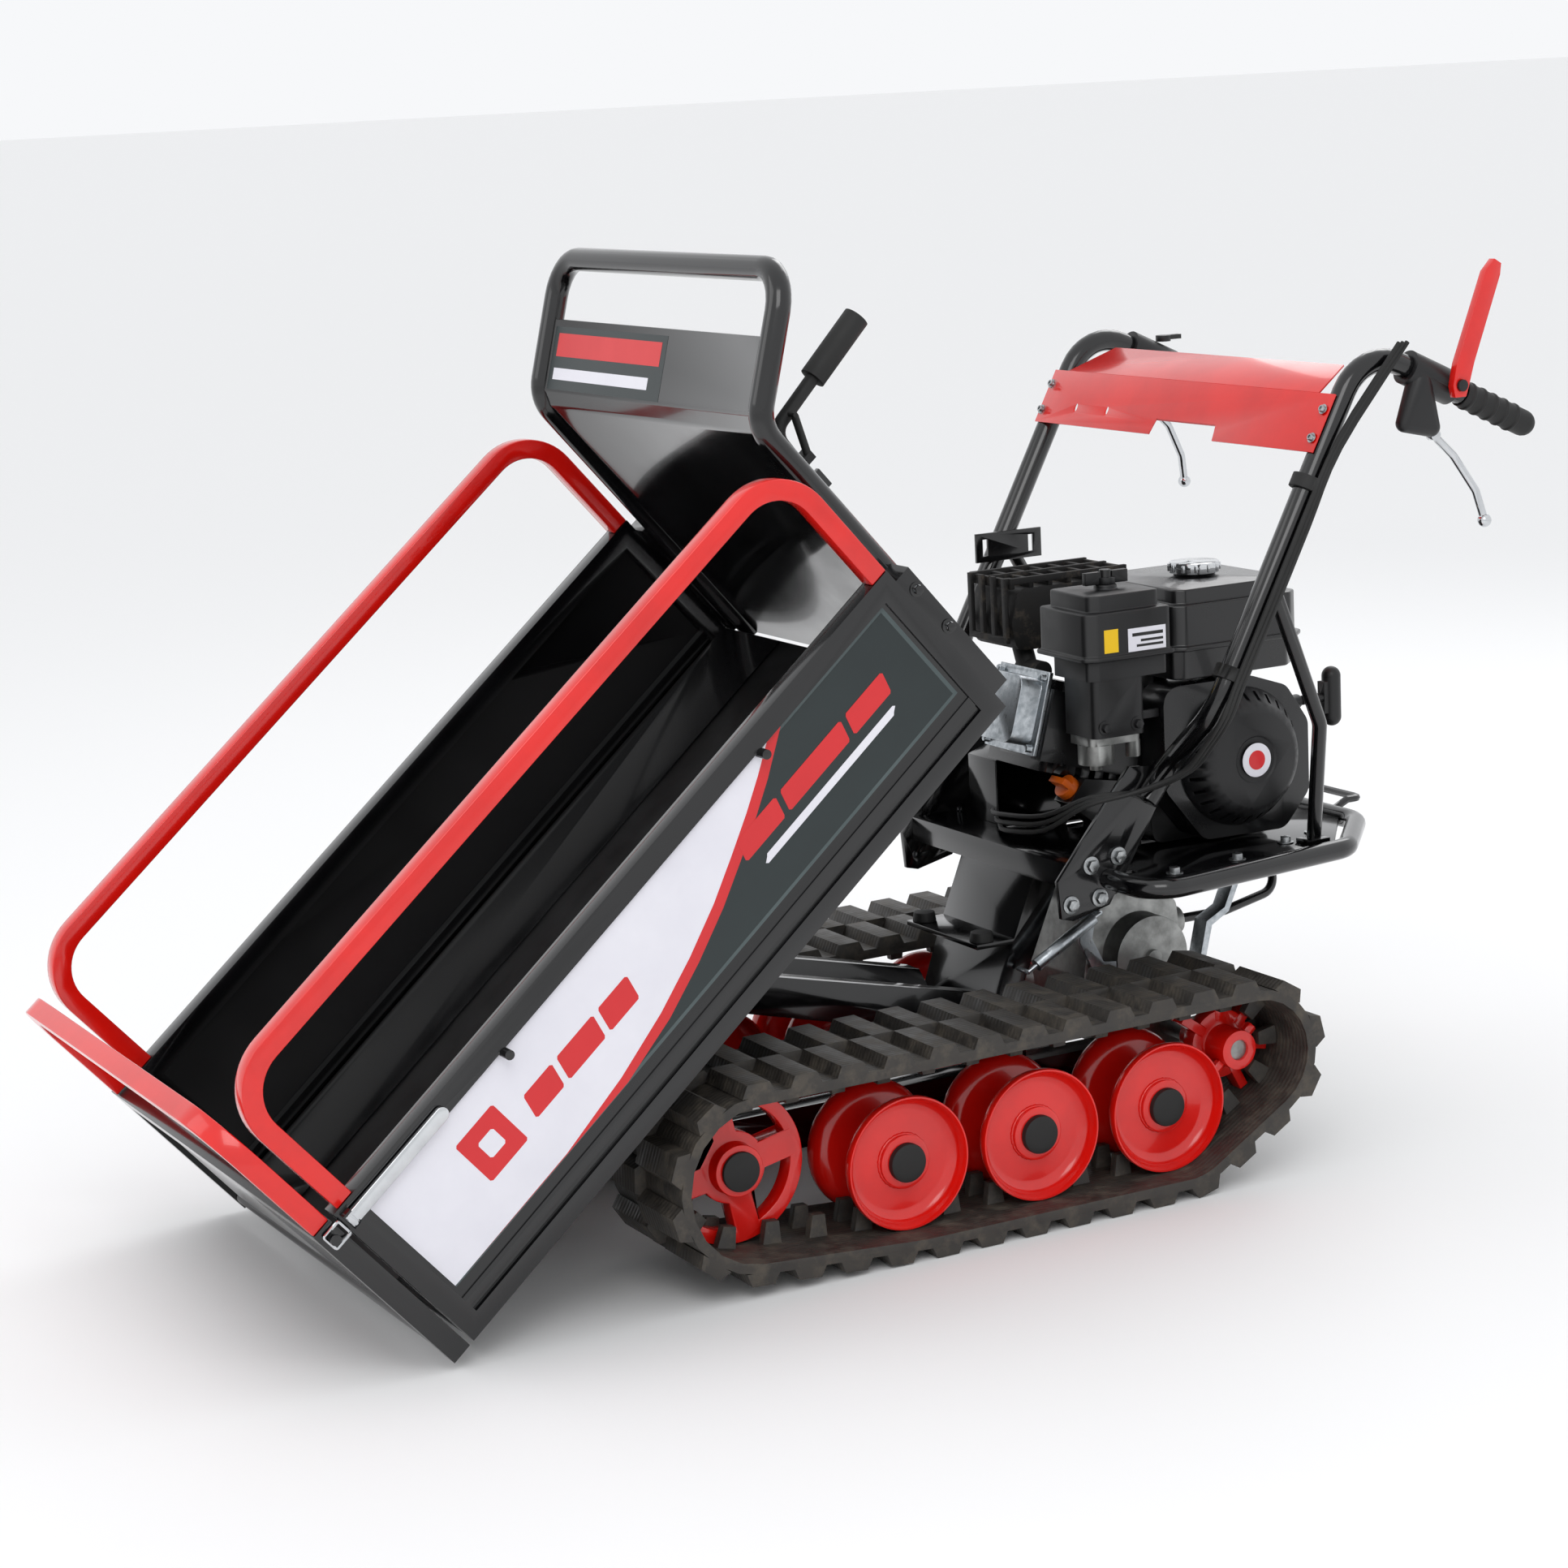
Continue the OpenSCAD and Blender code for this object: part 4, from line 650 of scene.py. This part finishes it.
# ------------------------------------------------------------------ sub-assemblies
@dataclass
class Carried:
    """CAD nodes whose shape stays, cleaned and rounded."""

    def build(self) -> None:
        """Refines and dresses each node of the list."""
        for node, finish, body, slot, edge in self.plan():
            piece = dress(refined(node, edge), finish, body, [node])
            if node.startswith("idler_"):
                axle = at(386, 240, 130)
                second_finish(
                    piece,
                    GRIP,
                    lambda middle, normal: abs(middle.y) > 0.2701
                    and math.hypot(middle.x - axle.x, middle.z - axle.z) < 0.0235,
                )
            log.info("carried over %s", node)

    def plan(self) -> List[Tuple[str, Finish, str, str, float]]:
        """Lists node, finish, body, slot and edge rounding in millimetres."""
        black, red, zinc = "black_paint", "red_paint", "zinc_steel"
        return [
            ("chassis_frame", BLACK, "chassis", black, 0.9),
            ("gearbox", CASTING, "chassis", "casting", 1.6),
            ("gearbox_linkage", ZINC, "chassis", zinc, 0.5),
            ("belt_guard", BLACK, "chassis", black, 1.0),
            ("drive_belt", BELT, "chassis", "rubber", 0.6),
            ("engine_block", STOVE, "chassis", "engine_casting", 0.8),
            ("valve_cover", ZINC, "chassis", zinc, 1.2),
            ("engine_shroud", STOVE, "chassis", "engine_casting", 2.4),
            ("recoil_cover", PLASTIC, "chassis", "black_plastic", 0.5),
            ("fuel_tank", STOVE, "chassis", "engine_casting", 2.0),
            ("fuel_cap", CHROME, "fuel_cap", "chrome_steel", 0.5),
            ("air_filter_cover", PLASTIC, "chassis", "black_plastic", 2.2),
            ("air_filter_base", PLASTIC, "chassis", "black_plastic", 0.8),
            ("filter_knob", PLASTIC, "filter_knob", "black_plastic", 0.5),
            ("carburettor", CASTING, "chassis", "casting", 0.6),
            ("choke_lever", PLASTIC, "choke_lever", "black_plastic", 0.6),
            ("dipstick", ORANGE, "dipstick", "orange_plastic", 0.8),
            ("muffler", HEAT, "chassis", "heat_steel", 2.0),
            ("muffler_guard", HEAT, "chassis", "heat_steel", 0.5),
            ("engine_deck", BLACK, "chassis", black, 0.7),
            ("deck_rail", BLACK, "chassis", black, 0.0),
            ("handle_tubes", BLACK, "chassis", black, 0.8),
            ("hood_panel", RED, "chassis", red, 0.6),
            ("hand_grips", GRIP, "chassis", "soft_grip", 0.8),
            ("lever_housings", PLASTIC, "chassis", "black_plastic", 1.2),
            ("frame_bolts", BOLT, "chassis", zinc, 0.4),
            ("bump_stops", GRIP, "chassis", "rubber", 1.0),
            ("starter_grip", PLASTIC, "starter_grip", "black_plastic", 0.0),
            ("clutch_lever", RED, "clutch_lever", red, 0.8),
            ("throttle_lever", PLASTIC, "throttle_lever", "black_plastic", 0.6),
            ("bed_floor", SATIN, "bed", black, 0.8),
            ("headboard", BLACK, "bed", black, 0.6),
            ("side_panel_left", BLACK, "side_left", black, 0.8),
            ("side_panel_right", BLACK, "side_right", black, 0.8),
            ("side_rail_left", RED, "side_left", red, 1.4),
            ("side_rail_right", RED, "side_right", red, 1.4),
            ("gate_panel", BLACK, "gate", black, 0.8),
            ("gate_rail", RED, "gate", red, 1.4),
            ("gate_latch_left", CHROME, "gate_latch_left", "chrome_steel", 0.8),
            ("gate_latch_right", CHROME, "gate_latch_right", "chrome_steel", 0.8),
            ("gate_bail_left", CHROME, "gate_bail_left", "chrome_steel", 0.0),
            ("gate_bail_right", CHROME, "gate_bail_right", "chrome_steel", 0.0),
            ("tip_lever", GRIP, "tip_lever", "soft_grip", 0.8),
            ("gear_lever", BLACK, "gear_lever", black, 0.4),
            ("steering_lever_left", CHROME, "steering_lever_left", "chrome_steel", 0.4),
            ("steering_lever_right", CHROME, "steering_lever_right", "chrome_steel", 0.4),
            ("control_cables", GRIP, "chassis", "rubber", 0.0),
            ("starter_rope", GRIP, "chassis", "rubber", 0.0),
            ("track_left", TREAD, "chassis", "rubber", 1.4),
            ("track_right", TREAD, "chassis", "rubber", 1.4),
            ("sprocket_left", RED, "sprocket_left", red, 0.8),
            ("sprocket_right", RED, "sprocket_right", red, 0.8),
            ("idler_left", RED, "idler_left", red, 1.2),
            ("idler_right", RED, "idler_right", red, 1.2),
        ]


@dataclass
class Rollers:
    """The six track rollers: two pressed dishes on a hub, welded, with a rubber cap.

    Attributes:
        radius: Radius over the dishes.
        half_width: Half the width over the two dishes.
        step: Distance between rollers.
        height: Height of the axles.
        track_y: Distance of the track's middle from the machine's.
        hub: Radius of the hub.
        cap: Radius of the cap.
    """

    radius: float = 78.7
    half_width: float = 50.7
    step: float = 179.0
    height: float = 104.0
    track_y: float = 240.0
    hub: float = 30.0
    cap: float = 23.0

    def profile(self) -> List[Flat]:
        """Gives the closed half section of one roller from its outer hub face inwards."""
        r, w = self.radius, self.half_width
        arc = [math.radians(a) for a in range(0, 91, 15)]
        outer = [(self.hub + 1.5, w - 9), (self.hub + 1.5, w - 16)]
        outer += [
            (r - 20 + 15 * math.sin(math.pi / 2 - a), w - 20 + 14 * (1 - math.cos(math.pi / 2 - a)))
            for a in reversed(arc)
        ]
        rim = [(r - 3.4, w - 2.0), (r - 2.4, w), (r - 0.6, w), (r, w - 1.2)]
        rim += [(r, w - 8), (r - 2, w - 14), (r - 7, w - 21), (r - 16, w - 25)]
        inner = [(self.hub + 8, w - 26), (self.hub + 3, w - 28), (self.hub - 2, 4)]
        half = [(self.cap - 2, w - 8), (self.hub, w - 8)] + outer + rim + inner
        return half + [(x, -z) for x, z in reversed(half)]

    def build(self) -> None:
        """Turns one roller and its cap, and copies them to all six places."""
        sides = {"left": 1, "right": -1}
        stations = {"front": self.step, "middle": 0.0, "rear": -self.step}
        for side, sign in sides.items():
            for place, x in stations.items():
                node = f"roller_{place}_{side}"
                frame_y = facing(at(x, sign * self.track_y, self.height), Vector((0, sign, 0)))
                wheel = turned(node + "_wheel", self.profile(), frame_y, 64)
                dress(wheel, RED, node, [node])
                dress(self.cap_piece(node, frame_y), GRIP, node)
                dress(self.weld(node, frame_y), RED, node)
        log.info("six rollers turned")

    def cap_piece(self, node: str, place: Matrix) -> bpy.types.Object:
        """Turns the domed rubber cap of one roller."""
        w, r = self.half_width, self.cap
        dome = [(r, w - 9), (r, w - 3), (r * 0.97, w - 1.2), (r * 0.85, w)]
        dome += [(r * 0.6, w + 0.8), (r * 0.3, w + 1.2), (0.5, w + 1.3)]
        return turned(node + "_cap", dome, place, 40)

    def weld(self, node: str, place: Matrix) -> bpy.types.Object:
        """Lays a weld bead of small scales round the hub."""
        bare()
        bpy.ops.mesh.primitive_torus_add(
            major_radius=(self.hub + 1.2) * MM, minor_radius=2.2 * MM, major_segments=96, minor_segments=8
        )
        obj = bpy.context.object
        for vertex in obj.data.vertices:
            angle = math.atan2(vertex.co.y, vertex.co.x)
            swell = 1 + 0.18 * math.sin(angle * 34) + 0.08 * math.sin(angle * 21 + 1)
            ring = Vector((math.cos(angle), math.sin(angle), 0)) * (self.hub + 1.2) * MM
            vertex.co = ring + (vertex.co - ring) * swell
        obj.matrix_world = place @ Matrix.Translation((0, 0, (self.half_width - 16) * MM))
        settle(obj, node + "_weld")
        return smoothed(obj, 60)


@dataclass
class SideDecals:
    """Printed vinyl on the bed's side panels.

    Attributes:
        face_y: Outer face of the panel's sheet.
        left: Rear end of the field.
        right: Dump end of the field.
        low: Lower edge.
        high: Upper edge.
    """

    face_y: float = 330.0
    left: float = 30.0
    right: float = 882.0
    low: float = 55.0
    high: float = 196.0
    curve: Tuple[Flat, ...] = (
        (228, 196),
        (262, 177),
        (300, 158),
        (345, 138),
        (395, 117),
        (455, 97),
        (520, 80),
        (600, 66),
        (700, 57),
    )

    def build(self) -> None:
        """Cuts the films for both sides and sticks them on."""
        for side, sign in (("left", 1), ("right", -1)):
            body = "side_" + side
            for name, outline, lift, finish in self.films():
                place = BED @ Matrix.Translation((0, sign * (self.face_y + lift) * MM, 0))
                depth = 0.15 * sign
                dress(plate(f"{body}_{name}", outline, depth, place), finish, body)
        log.info("side films on both sides")

    def films(self) -> List[Tuple[str, List[Flat], float, Finish]]:
        """Lists name, outline, lift over the sheet and finish of each film."""
        l, r, b, t = self.left, self.right, self.low, self.high
        stripe = self.offset(13.0)
        white = list(self.curve) + [(r, 57), (r, t)]
        edge = stripe + [(r, 57), (r, 70), (700, 70)] + list(reversed(self.curve[:-1]))
        items = [
            ("border", [(l, b), (r, b), (r, t), (l, t)], 0.05, BORDER),
            ("field", [(l + 5, b + 4), (r, b + 4), (r, t - 4), (l + 5, t - 4)], 0.2, FIELD),
            ("stripe", edge, 0.35, SCARLET),
            ("white", white, 0.5, WHITE),
        ]
        for i, (x0, x1) in enumerate(((86, 150), (158, 262), (270, 336))):
            items.append((f"mark_{i}", self.lozenge(x0, x1, 119, 145), 0.5, SCARLET))
        items.append(("line", self.lozenge(100, 322, 98, 107), 0.5, WHITE))
        for i, (x0, x1) in enumerate(((524, 572), (580, 640), (648, 694))):
            items.append((f"block_{i}", self.lozenge(x0, x1, 112, 142), 0.65, SCARLET))
        items.append(("tile", self.lozenge(716, 776, 104, 164, 0), 0.65, SCARLET))
        items.append(("tile_heart", self.lozenge(734, 758, 122, 146, 0), 0.8, WHITE))
        return items

    def offset(self, width: float) -> List[Flat]:
        """Gives the curve moved towards the dark field by width millimetres."""
        made = []
        for i, (x, z) in enumerate(self.curve):
            a, c = self.curve[max(i - 1, 0)], self.curve[min(i + 1, len(self.curve) - 1)]
            run = Vector((c[0] - a[0], c[1] - a[1])).normalized()
            made.append((x + run.y * width, max(z - run.x * width, self.low + 1)))
        made[0] = (self.curve[0][0] - 24, self.curve[0][1])
        return made

    def lozenge(self, x0: float, x1: float, z0: float, z1: float, lean: float = 6.0) -> List[Flat]:
        """Gives a slanted bar with clipped corners."""
        c = 2.5
        low = [(x0 + c, z0), (x1 - c, z0), (x1, z0 + c)]
        high = [(x1 - lean, z1 - c), (x1 - lean - c, z1), (x0 - lean + c, z1), (x0 - lean, z1 - c)]
        return low + high + [(x0, z0 + c)]


@dataclass
class Tubes:
    """Round tubes, bent smooth over the facets of their CAD solids."""

    def build(self) -> None:
        """Bends the handle tubes, deck rail, headboard tube and gear lever."""
        run = Vector((-math.cos(math.radians(25)), 0, -math.sin(math.radians(25))))
        corner = Vector((-480.26, 294, 982))
        for side, sign in (("left", 1), ("right", -1)):
            route = [(-222, 197, 456), (-252, 197, 492), (-258.4, 294, 575)]
            route += [tuple(corner), tuple(corner + run * 165)]
            flipped = [(x, y * sign, z) for x, y, z in route]
            piece = tube(f"handle_tube_{side}", flipped, 14.05, 62, MACHINE, 8)
            dress(piece, BLACK, "chassis")
        rail = [(-172, 187, 366), (-172, 282, 366), (-488, 236, 366), (-592, 120, 366)]
        route = [(x, -y, z) for x, y, z in rail] + list(reversed(rail))
        dress(tube("deck_rail_tube", route, 12.55, 50, MACHINE, 8), BLACK, "chassis")
        board = [(-16, 283, 6), (-16, 283, 427), (-155.3, 283, 524.5)]
        route = board + [(x, -y, z) for x, y, z in reversed(board)]
        dress(tube("headboard_tube", route, 14.05, 46, BED, 8), BLACK, "bed")
        gear = [(-396.3, 0, 246), (-470, 0, 246), (-548, 0, 262), (-560, -30, 330), (-560, -30, 470)]
        dress(tube("gear_lever_rod", gear, 6.05, 26), BLACK, "gear_lever")
        log.info("tubes bent")


@dataclass
class Labels:
    """Blank labels and small generic plates."""

    def build(self) -> None:
        """Sticks the labels on the recoil cover, the headboard and the air filter."""
        self.headboard_label()
        cover = facing(at(-393, 184.6, 481), Vector((0, 1, 0)))
        dress(turned("recoil_badge", [(21, 0), (21, 0.5), (20.4, 0.8)], cover), WHITE, "chassis")
        disc = turned("recoil_badge_ring", [(12, 0.7), (12, 1.0), (11.6, 1.1)], cover)
        dress(disc, SCARLET, "chassis")
        self.filter_labels()
        log.info("labels stuck on")

    def filter_labels(self) -> None:
        """Sticks a yellow label and a white one with plain bars on the filter cover."""
        face = MACHINE @ Matrix.Translation((0, 174.1 * MM, 0))
        for name, x0, x1, z0, z1, finish, lift in (
            ("yellow", -204, -184, 636, 664, YELLOW, 0.0),
            ("white", -272, -218, 634, 662, WHITE, 0.0),
            ("bar_a", -268, -224, 652, 656, INK, 0.15),
            ("bar_b", -268, -236, 645, 648, INK, 0.15),
            ("bar_c", -268, -230, 639, 642, INK, 0.15),
        ):
            place = face @ Matrix.Translation((0, lift * MM, 0))
            outline = [(x0, z0), (x1, z0), (x1, z1), (x0, z1)]
            dress(plate("filter_label_" + name, outline, 0.15, place), finish, "chassis")

    def headboard_label(self) -> None:
        """Sticks a dark label with a red and a white bar on the leaning part of the headboard."""
        lean = Vector((-139.3, 0, 97.5)).normalized()
        normal = Vector((lean.z, 0, -lean.x))
        turn = Matrix(((0, -1, 0), tuple(normal), tuple(lean))).transposed().to_4x4()
        place = BED @ Matrix.Translation(Vector((-16, 0, 427)) * MM + normal * 2.5 * MM) @ turn
        for name, x0, x1, z0, z1, finish, lift in (
            ("field", -40, 262, 12, 88, FIELD, 0.0),
            ("red_bar", -28, 250, 52, 80, SCARLET, 0.15),
            ("white_bar", -6, 250, 24, 38, WHITE, 0.15),
        ):
            film = place @ Matrix.Translation((0, lift * MM, 0))
            outline = [(x0, z0), (x1, z0), (x1, z1), (x0, z1)]
            dress(plate("headboard_label_" + name, outline, 0.15, film), finish, "bed")


@dataclass
class Hardware:
    """Bolts of the headboard's flanges and of the hood."""

    def build(self) -> None:
        """Sets two bolts on each flange and two on each end of the hood."""
        for side, sign in (("left", 1), ("right", -1)):
            for i, u in enumerate((120, 180)):
                origin = BED @ (Vector((-12, sign * 334.2, u)) * MM)
                bolt = capped_bolt(f"headboard_bolt_{side}_{i}", origin, Vector((0, sign, 0)), 5.5)
                dress(bolt, BOLT, "bed")
            for i, z in enumerate((904, 872)):
                spot = at(-441 + (910 - z) / 1.834, sign * 294, z)
                normal = Vector((math.sin(math.radians(61.4)), 0, math.cos(math.radians(61.4))))
                origin = spot + normal * (18.2 * MM)
                bolt = capped_bolt(f"hood_bolt_{side}_{i}", origin, normal, 4.2)
                dress(bolt, BOLT, "chassis")
        log.info("bolts set")


@dataclass
class Studio:
    """Floor, lights and camera."""

    def build(self) -> None:
        """Lays the floor and sets lights and camera."""
        bare()
        bpy.ops.mesh.primitive_plane_add(size=400, location=(0, 0, -0.0008))
        floor = bpy.context.object
        floor.name = "floor"
        pale = bpy.data.materials.new("pale_studio_floor")
        pale.use_nodes = True
        shader = next(n for n in pale.node_tree.nodes if n.type == "BSDF_PRINCIPLED")
        shader.inputs["Base Color"].default_value = linear("#f4f4f4")
        shader.inputs["Roughness"].default_value = 0.7
        floor.data.materials.append(pale)
        world = bpy.data.worlds.new("soft_white")
        world.use_nodes = True
        back = next(n for n in world.node_tree.nodes if n.type == "BACKGROUND")
        back.inputs["Color"].default_value = linear("#f7f8fa")
        back.inputs["Strength"].default_value = 1.0
        bpy.context.scene.world = world
        bpy.context.scene.view_settings.view_transform = "Standard"
        self.lamp("key", (1.6, 3.2, 3.4), 2.2, 40)
        self.lamp("fill", (3.2, -0.6, 2.6), 2.2, 16)
        self.lamp("back", (-2.8, -2.0, 3.0), 2.0, 24)
        self.camera()

    def lamp(self, name: str, place: Point, size: float, power: float) -> None:
        """Hangs one square soft lamp that points at the machine."""
        data = bpy.data.lights.new(name, "AREA")
        data.size, data.energy = size, power
        lamp = bpy.data.objects.new(name, data)
        bpy.context.scene.collection.objects.link(lamp)
        lamp.location = place
        lamp.rotation_euler = (Vector((0, 0, 0.45)) - Vector(place)).to_track_quat("-Z", "Y").to_euler()

    def camera(self) -> None:
        """Places the camera, with its slight roll."""
        yaw, pitch, roll, lens = 0.486574, 0.197154, -0.0501574, 81.07
        look = Vector((-math.sin(yaw) * math.cos(pitch), -math.cos(yaw) * math.cos(pitch), -math.sin(pitch)))
        right = look.cross(Vector((0, 0, 1))).normalized()
        up = right.cross(look)
        c, s = math.cos(roll), math.sin(roll)
        x, y = c * right + s * up, -s * right + c * up
        data = bpy.data.cameras.new("camera")
        data.lens, data.sensor_width, data.sensor_height = lens, 36, 36
        camera = bpy.data.objects.new("camera", data)
        bpy.context.scene.collection.objects.link(camera)
        turn = Matrix((x, y, -look)).transposed().to_4x4()
        camera.matrix_world = Matrix.Translation((2.09412 + CENTRE_X, 3.65083, 1.32494)) @ turn
        bpy.context.scene.camera = camera


def main() -> None:
    """Builds every class in order."""
    logging.basicConfig(level=logging.INFO, format="%(message)s")
    for part in (Studio(), Carried(), Rollers(), SideDecals(), Tubes(), Labels(), Hardware()):
        part.build()
    bpy.context.view_layer.update()


if __name__ == "__main__":
    main()
